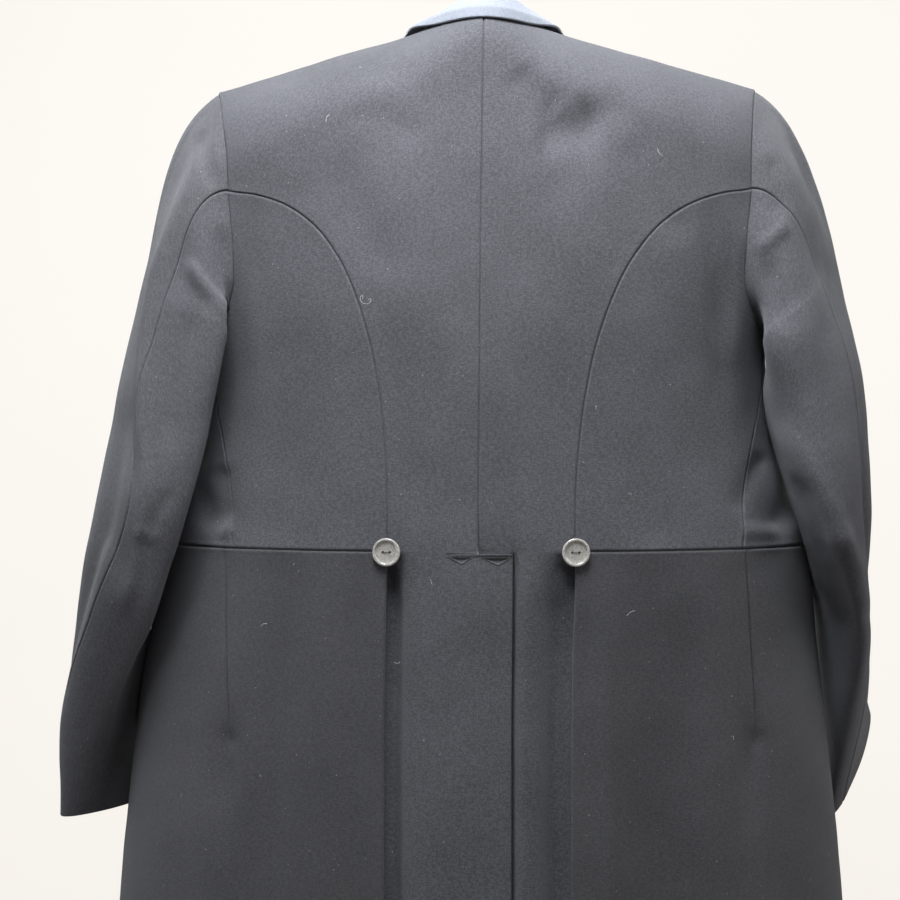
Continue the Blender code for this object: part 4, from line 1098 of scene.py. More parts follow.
@dataclass
class Foreparts(PairedPanel):
    """The two foreparts, from the underarm seam round to the opened front edge."""

    name: str = "forepart"
    flat: tuple[float, float] = (0.27, 0.47)
    area: float = 0.085
    across: float = 0.26
    high: float = 0.5

    def grid(self, side: Side, u: Array, v: Array) -> Array:
        """Angles and places of a forepart at shares across and up."""
        arm = self.seam(UNDERARM, side)
        low = self.part(self.waist(side), SIDE_COLS / (SIDE_COLS + FORE_COLS), 1)
        front_low = self.seam(FRONT_LOW, side)
        front = joined((front_low, SEAM_ROWS), (self.front_up(side), SCYE_ROWS))
        shoulder = self.shoulder(side, True)
        edge = joined((arm, SEAM_ROWS), (self.scye_front(side), SCYE_ROWS))
        return patch(low, lambda share: shoulder(1 - share), edge, front, u, v)

    def sheets(self, side: Side) -> list[Sheet]:
        """One forepart."""
        v = np.union1d(steps(self.high, self.step), [SEAM_ROWS / (SEAM_ROWS + SCYE_ROWS)])
        grid = self.grid(side, steps(self.across, self.step), v)
        sheet = self.surface(grid[..., 0], grid[..., 1])
        return [sheet.finish({**ALL_SEWN, "last": Finish.FREE})]


@dataclass
class Skirts(PairedPanel):
    """The two skirts, each folded under at the back as a pleat and cut away in front to the hem."""

    name: str = "skirt"
    flat: tuple[float, float] = (0.46, 0.62)
    area: float = 0.225
    wide: float = 0.36
    high: float = 0.6
    row: float = 0.0045
    column: float = 0.0036
    follow: float = 0.12
    bend: Array = field(default_factory=lambda: np.arange(180, 0, -18))
    fold_gap: float = 0.0003

    def sheets(self, side: Side) -> list[Sheet]:
        """One skirt with its pleat.

        Args:
            side: which skirt.

        Returns:
            Its one grid, with the part folded under as its first columns.
        """
        v = steps(self.high, self.row)
        fold = PLEAT + LAYER
        heights = np.linspace(WAIST, HEM, 9)
        folds = np.full(heights.shape, fold)
        turns = side.value * self.form.turn_at(folds, heights)
        back = self.form.line(np.stack([turns, self.form.fall(folds, heights)], -1))
        edge = self.seam(CUTAWAY, side)
        top = self.waist(side, fold)
        ends = np.abs([back(np.array([1.0]))[0, 0], edge(np.array([1.0]))[0, 0]])
        hem = self.form.level(side, lambda share: ends[0] + share * (ends[1] - ends[0]), HEM)
        edges = top, hem, back, edge
        grid = patch(*edges, self.across(side, edges, v), v)
        sheet = self.surface(grid[..., 0], grid[..., 1])
        sheet.finish({"bottom": Finish.SEAM, "top": Finish.FREE, "last": Finish.FREE})
        outer, inner = sheet.faces_of()
        base, out = outer[:, 0], sheet.out[:, 0]
        inward = unit(outer[:, 8] - outer[:, 0])
        small = self.fold_gap
        big = sheet.wall + FACES_APART + small
        flap = PLEAT_RETURN * np.linspace(1, 0.08, 6)
        outs = [base + inward * far - out * 2 * big for far in flap]
        inns = [base + inward * far - out * (big + small) for far in flap]
        for angle in np.radians(self.bend):
            outs.append(base - inward * big * np.sin(angle) - out * big * (1 - np.cos(angle)))
            inns.append(base - inward * small * np.sin(angle) - out * (big - small * np.cos(angle)))
        joined_outer = np.concatenate([np.stack(outs, 1), outer], 1)
        joined_inner = np.concatenate([np.stack(inns, 1), inner], 1)
        return [Sheet(joined_outer, np.zeros_like(joined_outer), CLOTH, joined_inner)]

    def across(self, side: Side, edges: tuple[EdgeLine, ...], v: Array) -> Array:
        """Shares across for each row, with close columns that follow the dart down to its end.

        Args:
            side: which skirt.
            edges: its top, hem, back and front edges.
            v: shares down.

        Returns:
            A row of shares for each v.
        """
        row = 0 if side is Side.LEFT else 1
        x0, z0, x1, z1 = (DARTS[name][row] for name in ("x0", "z0", "x1", "z1"))
        rough = np.linspace(0, 1, 201)
        grid = patch(*edges, rough, v)[:, :100]
        spots = self.form.place(grid[..., 0], grid[..., 1])
        down = np.clip((spots[:, 55, 2] - z0) / (z1 - z0), 0, 1)
        want = np.abs(x0 + (x1 - x0) * down)
        line = np.array([np.interp(x, xs, rough[:100]) for x, xs in zip(want, np.abs(spots[..., 0]))])
        line = np.where(down < 1, line, line[np.argmax(down >= 1)])
        u = steps(self.wide, self.column, (line[0],))
        return u + (line - line[0])[:, None] * bell((u - line[0]) / self.follow)


@dataclass
class Sleeves(Panels):
    """Two-piece sleeves, bent at the elbow, each a hollow tube from its armhole to its cuff."""

    arms: dict[Side, Table] = field(default_factory=lambda: {Side.LEFT: LEFT_ARM, Side.RIGHT: RIGHT_ARM})
    creases: dict[Side, Table] = field(
        default_factory=lambda: {Side.LEFT: LEFT_SLEEVE_CREASES, Side.RIGHT: RIGHT_SLEEVE_CREASES}
    )
    seed: float = 2.7
    strength: float = 1.6
    waviness: float = 1.3
    under: float = 0.0004
    sunk: float = 0.001
    long: float = 0.66
    row: float = 0.0042
    column: float = 0.0032
    share_wide: float = 0.022
    beside: float = 0.05
    arrive_share: float = 0.9
    smooth_rows: float = 0.5
    rim_rows: float = 0.1
    top_flat: tuple[float, float] = (0.24, 0.66)
    top_area: float = 0.103
    under_flat: tuple[float, float] = (0.2, 0.58)
    under_area: float = 0.0885

    def build(self, top: Material, under: Material) -> None:
        """Build and dress both sleeves.

        Args:
            top: finish of the top sleeves.
            under: finish of the under sleeves.
        """
        hind, fore = BLADE_ROWS, BLADE_ROWS + SIDE_COLS + FORE_STEPS
        for side in Side:
            upper = ClothPiece(f"top_sleeve_{side.word}", self.top_flat, self.top_area)
            lower = ClothPiece(f"under_sleeve_{side.word}", self.under_flat, self.under_area)
            upper.dress([self.tube(side, fore, RING_COLS + hind)], top)
            lower.dress([self.tube(side, hind, fore)], under)

    def tube(self, side: Side, start_at: int, end_at: int) -> Sheet:
        """Part of a sleeve between two places around it.

        Args:
            side: which sleeve.
            start_at: where the part begins, counted in the ring's shares.
            end_at: where it ends.

        Returns:
            The sheet.
        """
        shares = end_at - start_at
        columns = start_at + shares * steps(self.share_wide * shares, self.column)
        count = HEAD_ROWS + ARM_ROWS
        rows = count * steps(self.long, self.row)
        wide = np.concatenate([[columns[0] - self.beside], columns, [columns[-1] + self.beside]])
        edge, body_out, into = self.armhole(side, wide)
        around = (wide % RING_COLS) * 360 / RING_COLS
        first, second = self.ring(side, wide, np.array([0, 0.5]))
        start = edge - into * self.under - body_out * self.sunk
        reach = np.linalg.norm(first - start, axis=1, keepdims=True)
        ahead = smooth(LEAVE["around"], LEAVE["ahead"], around)[:, None]
        lift = smooth(LEAVE["around"], LEAVE["lift"], around)[:, None]
        leave = unit(ahead * into + lift * body_out) * reach
        arrive = -unit(first - second) * reach * self.arrive_share
        head = rows[rows < HEAD_ROWS] / HEAD_ROWS
        t = head[:, None, None]
        shape = (1 + 2 * t) * (1 - t) ** 2 * start + t * t * (3 - 2 * t) * first
        shape = shape + t * (1 - t) ** 2 * leave - t * t * (1 - t) * arrive
        arm = self.ring(side, wide, (rows[rows >= HEAD_ROWS] - HEAD_ROWS) / 2)
        points = np.concatenate([shape, arm])
        normal = normals(points)
        middle = self.ring(side, np.linspace(0, RING_COLS, 64, endpoint=False), np.array([2.0]))[0].mean(0)
        near = np.argmin(np.abs(rows - (HEAD_ROWS + 4)))
        normal = normal * np.sign((normal[near] * (points[near] - middle)).sum(-1).mean())
        down = (rows / count)[:, None]
        rise = np.zeros(points.shape[:2])
        for fold_side, at, place, long, broad, height in zip(*ARM_FOLDS.values()):
            if fold_side == side.value:
                gap = (around[None] - place + 180) % 360 - 180
                rise += height * bell((down - at) / long) * bell(gap / broad)
        behind = np.clip(normal[..., 1] * 4, 0, 1)
        ahead_side = np.clip(-normal[..., 1] * 4, 0, 1)
        rise = rise + self.strength * behind * crease_relief(self.creases[side], points)
        rise = rise + ahead_side * crease_relief(INNER_ARM_CREASES[side.value], points)
        rise = rise + self.uneven * self.waviness * drape(points, self.seed + side.value)
        rise = rise * np.clip(rows / self.smooth_rows, 0, 1)[:, None]
        points = points + normal * rise[..., None]
        normal = facing(normals(points), normal)
        rim = unit(ahead * body_out - np.maximum(lift, 0) * into)
        weight = bell(rows / self.rim_rows)[:, None, None]
        normal = unit(normal * (1 - weight) + rim[None] * weight)
        return Sheet(points[:, 1:-1], normal[:, 1:-1]).finish({**ALL_SEWN, "top": Finish.FREE})

    def armhole(self, side: Side, columns: Array) -> tuple[Array, Array, Array]:
        """The armhole's edge.

        Args:
            side: which armhole.
            columns: places around it, counted in the ring's shares.

        Returns:
            Its points, and the directions there out of the body and into the hole.
        """
        back, under, front = self.scye_back(side), self.scye_under(side), self.scye_front(side)

        def at(place: Array) -> Array:
            """Angles and places down of the armhole's loop."""
            place = place % RING_COLS
            result = np.zeros((*place.shape, 2))
            first = place < BLADE_ROWS
            last = place >= BLADE_ROWS + SIDE_COLS
            second = ~first & ~last
            result[first] = back(1 - place[first] / BLADE_ROWS)
            result[second] = under((place[second] - BLADE_ROWS) / SIDE_COLS)
            result[last] = front((place[last] - BLADE_ROWS - SIDE_COLS) / SCYE_ROWS)
            return result

        def spots(place: Array) -> tuple[Array, Array]:
            """Points and outward directions of the loop."""
            loop = at(place)
            return self.form.skin(loop[:, 0], loop[:, 1])

        points, out = spots(columns)
        along = unit(spots(columns + 0.3)[0] - spots(columns - 0.3)[0])
        centre = spots(np.arange(0, RING_COLS, 0.5))[0].mean(0)
        return points, out, facing(unit(np.cross(along, out)), centre - points)

    def ring(self, side: Side, columns: Array, stations: Array) -> Array:
        """Rings of a sleeve.

        Args:
            side: which sleeve.
            columns: places around it, counted in the ring's shares.
            stations: places down the arm, counted in the rows of its table.

        Returns:
            A row of points for each station.
        """
        sizes = self.arms[side]
        stage = np.arange(len(sizes["x"]), dtype=float)
        at = {name: smooth(stage, column, stations)[:, None] for name, column in sizes.items()}
        place = (columns % RING_COLS)[None]
        fore = BLADE_ROWS + SIDE_COLS + FORE_STEPS
        middle = at["hind"] + (place - BLADE_ROWS) / (fore - BLADE_ROWS) * (at["fore"] - at["hind"])
        turn = np.where(place < BLADE_ROWS, place / BLADE_ROWS * at["hind"], middle)
        last = at["fore"] + (place - fore) / (RING_COLS - fore) * (360 - at["fore"])
        turn = np.where(place >= fore, last, turn)
        near = bell((turn - HUG_AT) / HUG_WIDE)
        angle = np.radians(turn)
        axes = []
        for name in "xyz":
            part = at[name] + np.cos(angle) * at[f"out_{name}"] + np.sin(angle) * at[f"back_{name}"]
            axes.append(part + near * at[f"hug_{name}"] if name != "z" else part)
        return np.stack(axes, -1) * [side.value, 1, 1]


@dataclass
class Collar(Panels):
    """The collar: a stand up from the neck seam and a leaf folded down over it."""

    flat: tuple[float, float] = (0.052, 0.25)
    area: float = 0.012
    wall: float = 0.0018
    neck_steps: int = 5
    front_steps: int = 3
    front_share: float = 0.2
    half_long: float = 0.24
    column: float = 0.003
    row: float = 0.0012
    cover: float = 0.0022
    waviness: float = 0.6
    inside: float = 0.0002
    edge: tuple[float, float] = (0.0005, 0.001)

    def build(self, finish: Material) -> None:
        """Build and dress the collar.

        Args:
            finish: the collar's cloth, lighter than the coat because of painted top light.
        """
        halves = []
        for side in Side:
            front = self.part(self.front_up_short(side), 0, self.front_share)
            halves.append(joined((self.neck(side), self.neck_steps), (front, self.front_steps)))
        share = steps(self.half_long, self.column)
        left, right = halves[0](share)[::-1], halves[1](share)[1:]
        loop = np.concatenate([left, right])
        path = self.form.place(loop[:, 0], loop[:, 1])
        along = unit(np.gradient(path, axis=0))
        away = facing(unit(np.cross(along * [1, 1, 0], np.array([0, 0, 1.0]))), path - [0, 0.02, 0])
        far = np.concatenate([-share[::-1], share[1:]])
        index = np.arange(len(COLLAR_SECTION["off"]), dtype=float)
        fine = (len(index) - 1) * steps(0.075, self.row)
        off, high = smooth(index, COLLAR_SECTION["off"], fine), smooth(index, COLLAR_SECTION["height"], fine)
        at = {name: smooth(COLLAR_ROUND["far"], COLLAR_ROUND[name], far)[:, None] for name in COLLAR_ROUND}
        up = np.where(high < 0, high * at["drop"], high * at["rise"])
        aside = off * at["spread"] - at["lean"] * np.maximum(high, 0) / high.max()
        line = path[:, None] + aside[..., None] * away[:, None] + up[..., None] * np.array([0, 0, 1.0])
        normal = unit(np.cross(np.gradient(line, axis=1), along[:, None, :]))
        fold = int(np.argmax(high))
        normal = normal * np.sign(normal[:, fold : fold + 1, 2:])
        cover = smooth(index, COLLAR_SECTION["cover"], fine)[None, :, None]
        wave = (self.uneven * self.waviness * drape(line * 2, 0.4))[..., None]
        outer = line + normal * (cover * self.cover + wave)
        sheet = Sheet(outer, normal, self.wall, outer - normal * (self.wall + self.inside))
        deep, wide = self.edge
        sheet.sink = deep * np.clip(1 - sheet.distances("last") / wide, 0, 1) ** 2
        ClothPiece("collar", self.flat, self.area, "folded").dress([sheet], finish)

    def front_up_short(self, side: Side) -> EdgeLine:
        """The neck's front part, from the shoulder down the front edge."""
        tip = self.shoulder(side, True)(np.array([0.0]))
        return self.form.line(np.concatenate([tip, self.form.knots(FRONT_EDGE, side)[::-1][:2]]))


@dataclass
class Lapels(Foreparts):
    """The lapels: each facing turned back over its forepart, from the roll line to a peaked point."""

    name: str = "lapel"
    flat: tuple[float, float] = (0.1, 0.34)
    area: float = 0.0165
    held: str = "folded"
    seed: float = 5.1
    wall: float = 0.0015
    long: float = 0.32
    row: float = 0.0036
    wide: float = 0.09
    column: float = 0.003
    off: float = 0.0022
    roll: float = 0.0044

    def sheets(self, side: Side) -> list[Sheet]:
        """One lapel, laid over its forepart.

        Args:
            side: which lapel.

        Returns:
            Its one grid, from the lapel's foot up.
        """
        u, v = np.linspace(0, 1, 110), np.linspace(0, 1, 160)
        grid = self.grid(side, u, v)
        under = self.surface(grid[..., 0], grid[..., 1])
        edge = under.points[:, -1, 2]
        top_row = LAPEL_END / (SEAM_ROWS + SCYE_ROWS) * (len(v) - 1)
        end = float(np.interp(top_row, np.arange(len(v)), edge))
        ups, share = steps(self.long, self.row), steps(self.wide, self.column)
        spots, lifts = [], []
        for up in ups:
            row = float(np.interp(LAPEL_START + up * (end - LAPEL_START), edge, np.arange(len(edge))))
            low = min(int(row), len(edge) - 2)
            line = under.points[low, ::-1] * (low + 1 - row) + under.points[low + 1, ::-1] * (row - low)
            lift = under.out[low, ::-1] * (low + 1 - row) + under.out[low + 1, ::-1] * (row - low)
            length = lengths(line)
            at = share * float(np.interp(up, LAPEL["up"], LAPEL["wide"]))
            spots.append(np.stack([np.interp(at, length, line[:, k]) for k in range(3)], -1))
            lifts.append(unit(np.stack([np.interp(at, length, lift[:, k]) for k in range(3)], -1)))
        away = np.array(lifts)
        wave = self.uneven * drape(np.array(spots), self.seed)
        rise = CLOTH + self.off + self.roll * (1 - share) ** 2 + wave
        sheet = Sheet(np.array(spots) + away * rise[..., None], away, self.wall)
        return [sheet.finish(dict.fromkeys(("bottom", "top", "last"), Finish.FREE))]

@dataclass
class Buttons(Panels):
    """Horn buttons with a raised rim, a dished middle and two holes, each sewn on with thread."""

    radius: float = 0.0117
    thick: float = 0.0034
    base_bevel: float = 0.0004
    rim: float = 0.0024
    rim_round: float = 0.0009
    side_high: float = 0.0011
    lip_high: float = 0.0007
    dish: float = 0.0015
    dish_fall: float = 0.00022
    sides: int = 96
    hole: float = 0.00105
    hole_sides: int = 28
    apart: float = 0.0058
    thread: float = 0.00016
    thread_apart: float = 0.00034
    thread_sunk: float = 0.0009
    thread_rise: float = 0.0012
    lift_off: float = 0.00036
    back_out: float = 0.0775
    back_height: float = -0.449
    front_turn: float = 141.5
    front_height: float = -0.436

    def build(self, horn: Material, thread: Material) -> None:
        """Build and dress the three buttons.

        Args:
            horn: finish of the buttons.
            thread: finish of the thread in their holes.
        """
        back = float(self.form.turn_at(self.back_out, self.back_height))
        spots = {
            "back_button_left": (back, self.back_height),
            "back_button_right": (-back, self.back_height),
            "front_button": (-self.front_turn, self.front_height),
        }
        for name, (turn, height) in spots.items():
            place = self.seat(turn, height)
            button = self.turned_button(f"horn_{name}")
            button.data.transform(place)
            button.data.materials.append(horn)
            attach(button, "root")
            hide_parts(name)
            sewn = self.sewing(f"thread_{name}")
            sewn.data.transform(place)
            sewn.data.materials.append(thread)
            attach(sewn, "root")
            log.info("%s: %d faces", name, len(button.data.polygons))

    def seat(self, turn: float, height: float) -> Matrix:
        """The frame of a button flat on the form."""
        spot, out = self.form.skin(np.array(turn), self.form.fall(self.form.out_at(turn, height), height))
        up = unit(np.array([0, 0, 1.0]) - out * out[2])
        across = np.cross(up, out)
        return Matrix(np.stack([across, up, out, spot + out * self.lift_off], 1).tolist()).to_4x4()

    def profile(self) -> list[tuple[float, float]]:
        """Half the button's section, as radius and height: its base, its rolled rim and its dish."""
        flat, side, lip = self.thick - self.dish, self.thick - self.side_high, self.thick - self.lip_high
        spots = [(0.0, 0.0), (self.radius * 0.8, 0.0), (self.radius * 0.95, self.base_bevel)]
        for angle in np.linspace(-60, 90, 8):
            spots.append(self.round(self.radius - self.rim_round, side, self.side_high, angle))
        for angle in np.linspace(90, 200, 7):
            spots.append(self.round(self.radius - self.rim * 0.62, lip, self.lip_high, angle))
        for share in np.linspace(0.85, 0.0, 7):
            spots.append((share * (self.radius - self.rim), flat - self.dish_fall * (1 - share * share)))
        return spots

    def turned_button(self, name: str) -> Piece:
        """A turned disc with a rolled rim, bored through twice.

        Args:
            name: the button's name.

        Returns:
            The button, face up at the origin.
        """
        disc = bmesh.new()
        start = np.pi / self.sides
        verts = [disc.verts.new((r * np.cos(start), r * np.sin(start), z)) for r, z in self.profile()]
        edges = [disc.edges.new(pair) for pair in zip(verts, verts[1:])]
        turned = {"cent": (0, 0, 0), "axis": (0, 0, 1), "angle": 2 * np.pi, "steps": self.sides}
        bmesh.ops.spin(disc, geom=verts + edges, use_merge=True, **turned)
        bmesh.ops.remove_doubles(disc, verts=disc.verts, dist=1e-6)
        bmesh.ops.recalc_face_normals(disc, faces=disc.faces)
        button = solid(name, disc)
        for side in (-1, 1):
            bore = bmesh.new()
            put = Matrix.Translation((side * self.apart / 2, 0, self.thick / 2))
            put = put @ Matrix.Rotation(start / 3, 4, "Z")
            sizes = {"radius1": self.hole, "radius2": self.hole, "depth": 3 * self.thick}
            bmesh.ops.create_cone(bore, cap_ends=True, matrix=put, segments=self.hole_sides, **sizes)
            cutter = solid("bore", bore)
            cut = button.modifiers.new("bore", "BOOLEAN")
            cut.operation, cut.solver, cut.object = "DIFFERENCE", "EXACT", cutter
            baked(button)
            bpy.data.objects.remove(cutter)
        button.data.shade_smooth()
        button.data.set_sharp_from_angle(angle=np.radians(35))
        return button

    def round(self, r: float, z: float, high: float, angle: float) -> tuple[float, float]:
        """A point of a rolled rim."""
        return r + self.rim_round * np.cos(np.radians(angle)), z + high * np.sin(np.radians(angle))

    def sewing(self, name: str) -> Piece:
        """Strands of thread between the two holes, a little sunk in the dish.

        Args:
            name: the thread's name.

        Returns:
            The strands as one mesh.
        """
        made = bmesh.new()
        level = self.thick - self.dish - self.thread_sunk
        side = Vector((0, 1, 0))
        turns = [(float(np.cos(a)), float(np.sin(a))) for a in np.radians(np.arange(0, 360, 45))]
        for offset in (-self.thread_apart / 2, self.thread_apart / 2):
            rings, path = [], []
            for x in np.linspace(-1, 1, 15):
                height = level + self.thread_rise * (1 - x**6) ** 0.5
                path.append(Vector((x * self.apart / 2, offset, height)))
            for before, spot, after in zip([path[0], *path], path, [*path[1:], path[-1]]):
                up = (after - before).cross(side).normalized()
                rings.append([spot + self.thread * (c * side + s * up) for c, s in turns])
            close_tube(made, rings)
        sewn = solid(name, made)
        sewn.data.shade_smooth()
        return sewn


@dataclass
class Stitches(Panels):
    """Thread seen on the cloth: the vent's two tacks and its stitched end, and the front buttonhole."""

    spacing: float = 0.0013
    length: float = 0.0016
    thread: float = 0.00032
    sunk: float = 0.6
    scale_least: float = 0.85
    scale_most: float = 1.1
    seed: int = 7
    bar: tuple[float, float, float] = (0.0287, 0.0033, -0.4494)
    hole_turn: float = 141.5
    hole_height: float = -0.436
    hole_long: float = 0.022
    hole_wide: float = 0.0032
    purl_long: float = 0.0013
    purl_spacing: float = 0.00042
    purls: int = 74
    front_radius: float = 0.2

    def build(self, finish: Material) -> None:
        """Build every run of stitches.

        Args:
            finish: the sewing thread.
        """
        tacks = []
        for left, right, top, apex, low in zip(*TACKS.values()):
            tacks.append(self.over([(left, top), (right, top), (apex, low), (left, top)]))
        self.sew("stitches_vent", tacks, self.spacing, finish)
        left, right, height = self.bar
        self.sew("stitches_hook", [self.over([(left, height), (right, height)])], self.spacing, finish)
        self.sew("stitches_buttonhole", self.purl(), self.purl_spacing, finish)

    def laid(self, turn: Array, out: Array, height: Array) -> Array:
        """Points of a thread that lies on the cloth."""
        sheet = self.surface(turn, self.form.fall(out, height))
        return sheet.points + sheet.out * self.thread * self.sunk

    def over(self, corners: list[tuple[float, float]]) -> Array:
        """A line laid on the back through corners given across and up."""
        spots = np.array(corners)
        share = np.linspace(0, 1, 30)[:, None]
        fine = np.concatenate([a + share * (b - a) for a, b in zip(spots, spots[1:])])
        x, height = fine[:, 0] - self.form.size("centre", fine[:, 1]), fine[:, 1]
        return self.laid(np.sign(x) * self.form.turn_at(np.abs(x), height), np.abs(x), height)

    def purl(self) -> list[Array]:
        """Short strands side by side round the buttonhole of the left front."""
        strands = []
        for share in np.linspace(0, 1, self.purls):
            x, z, nx, nz = self.slot_edge(share)
            reach = np.linspace(0, self.purl_long, 4)
            turn = self.hole_turn + np.degrees((x + nx * reach) / self.front_radius)
            height = self.hole_height + z + nz * reach
            strands.append(self.laid(turn, self.form.out_at(turn, height), height))
        return strands

    def slot_edge(self, share: float) -> tuple[float, float, float, float]:
        """A point round the buttonhole's slot and the direction away from it."""
        half, wide = self.hole_long / 2, self.hole_wide / 2
        turn = share * 2 * np.pi
        straight, up = np.clip(1.6 * np.cos(turn), -1, 1), float(np.sign(np.sin(turn) + 1e-9))
        return half * straight, wide * 0.5 * np.sin(turn), 0.15 * np.cos(turn), up

    def sew(self, name: str, paths: list[Array], spacing: float, finish: Material) -> None:
        """Lay thread along paths with the stitching nodes and make it a plain mesh.

        Args:
            name: the piece's name.
            paths: lines on the cloth.
            spacing: from one stitch to the next.
            finish: the thread.
        """
        spots, links = [], []
        for path in paths:
            base = len(spots)
            spots.extend(path.tolist())
            links.extend((base + i, base + i + 1) for i in range(len(path) - 1))
        guide = bpy.data.meshes.new(name)
        guide.from_pydata(spots, links, [])
        piece = placed(name, guide)
        tree = self.tree()
        stitching = piece.modifiers.new("stitching", "NODES")
        stitching.node_group = tree
        values = {"Spacing": spacing, "Length": self.length, "Thread": self.thread, "Thread Finish": finish}
        for item in tree.interface.items_tree:
            if item.item_type == "SOCKET" and item.in_out == "INPUT" and item.name in values:
                stitching[item.identifier] = values[item.name]
        baked(piece)
        if not piece.data.materials:
            piece.data.materials.append(finish)
        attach(piece, "root")
        log.info("%s: %d faces", name, len(piece.data.polygons))

    def tree(self) -> bpy.types.NodeTree:
        """Nodes that lay short rounded stitches along the edges of a mesh."""
        old = bpy.data.node_groups.get("stitching")
        if old:
            return old
        tree = bpy.data.node_groups.new("stitching", "GeometryNodeTree")
        kinds = {"Geometry": "Geometry", "Spacing": "Float", "Length": "Float", "Thread": "Float"}
        for name, kind in {**kinds, "Thread Finish": "Material"}.items():
            tree.interface.new_socket(name, in_out="INPUT", socket_type=f"NodeSocket{kind}")
        tree.interface.new_socket("Geometry", in_out="OUTPUT", socket_type="NodeSocketGeometry")
        n = Nodes(tree)
        start = n.make("NodeGroupInput").outputs
        curve = n.make("GeometryNodeMeshToCurve", {"Mesh": start["Geometry"]}).outputs[0]
        run = {"Curve": curve, "Length": start["Spacing"]}
        even = n.make("GeometryNodeResampleCurve", run, mode="LENGTH").outputs["Curve"]
        tangent = n.make("GeometryNodeInputTangent").outputs[0]
        turn = n.make("FunctionNodeAlignRotationToVector", {"Vector": tangent}, axis="Z").outputs[0]
        spread = {2: self.scale_least, 3: self.scale_most, "Seed": self.seed}
        wobble = n.make("FunctionNodeRandomValue", spread, data_type="FLOAT").outputs[1]
        ball = n.make("GeometryNodeMeshUVSphere", {"Segments": 8, "Rings": 6, "Radius": 1.0}).outputs["Mesh"]
        half = n.math("MULTIPLY", start["Length"], 0.5)
        sizes = {"X": start["Thread"], "Y": start["Thread"], "Z": half}
        size = n.make("ShaderNodeCombineXYZ", sizes).outputs[0]
        scaled = n.make("ShaderNodeVectorMath", {0: size, "Scale": wobble}, operation="SCALE").outputs[0]
        where = {"Points": even, "Instance": ball, "Rotation": turn, "Scale": scaled}
        place = n.make("GeometryNodeInstanceOnPoints", where).outputs[0]
        real = n.make("GeometryNodeRealizeInstances", {0: place}).outputs[0]
        dress = n.make("GeometryNodeSetMaterial", {"Geometry": real, "Material": start["Thread Finish"]})
        n.make("NodeGroupOutput", {0: dress.outputs[0]})
        return tree


@dataclass
class Lint(Panels):
    """Fibres caught on the cloth's back."""

    hair: float = 0.00011
    sides: int = 5
    curl_wide: float = 0.45
    stand: float = 0.0004
    seed: int = 11
    curls: Table = field(default_factory=lambda: CURLS)

    def build(self, finish: Material) -> None:
        """Build the fibres.

        Args:
            finish: the lint.
        """
        made = bmesh.new()
        rng = np.random.default_rng(self.seed)
        for x, z, size, turns, tilt in zip(*self.curls.values()):
            rings = self.curl(x, z, size, turns, np.radians(tilt), rng.uniform(0, 6))
            close_tube(made, rings)
        piece = solid("lint", made)
        piece.data.materials.append(finish)
        piece.data.shade_smooth()
        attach(piece, "root")

    def curl(self, x: float, z: float, size: float, turns: float, tilt: float, start: float) -> Rings:
        """One curled fibre lying on the cloth.

        Args:
            x: its place across.
            z: its height.
            size: its reach.
            turns: how often it curls.
            tilt: the way it runs.
            start: where its first curl starts.

        Returns:
            Rings of corners along it.
        """
        t = np.linspace(0, 1, 34)
        bend = turns * 2 * np.pi * t + start
        along = size * (2 * t - 1)
        dx = along * np.cos(tilt) + self.curl_wide * size * np.cos(bend)
        height = z + along * np.sin(tilt) + self.curl_wide * size * np.sin(bend)
        lean = self.form.size("centre", height)
        out = np.abs(x + dx - lean)
        turn = np.sign(x - lean) * self.form.turn_at(out, height)
        sheet = self.surface(turn, self.form.fall(out, height))
        path = sheet.points + sheet.out * (self.hair * 1.2 + self.stand * np.sin(np.pi * t) ** 2)[:, None]
        side = unit(np.cross(unit(np.gradient(path, axis=0)), sheet.out))
        angles = np.radians(np.arange(0, 360, 360 // self.sides))
        rings = []
        for spot, one, two in zip(path, side, sheet.out):
            rings.append([spot + self.hair * (np.cos(a) * one + np.sin(a) * two) for a in angles])
        return rings


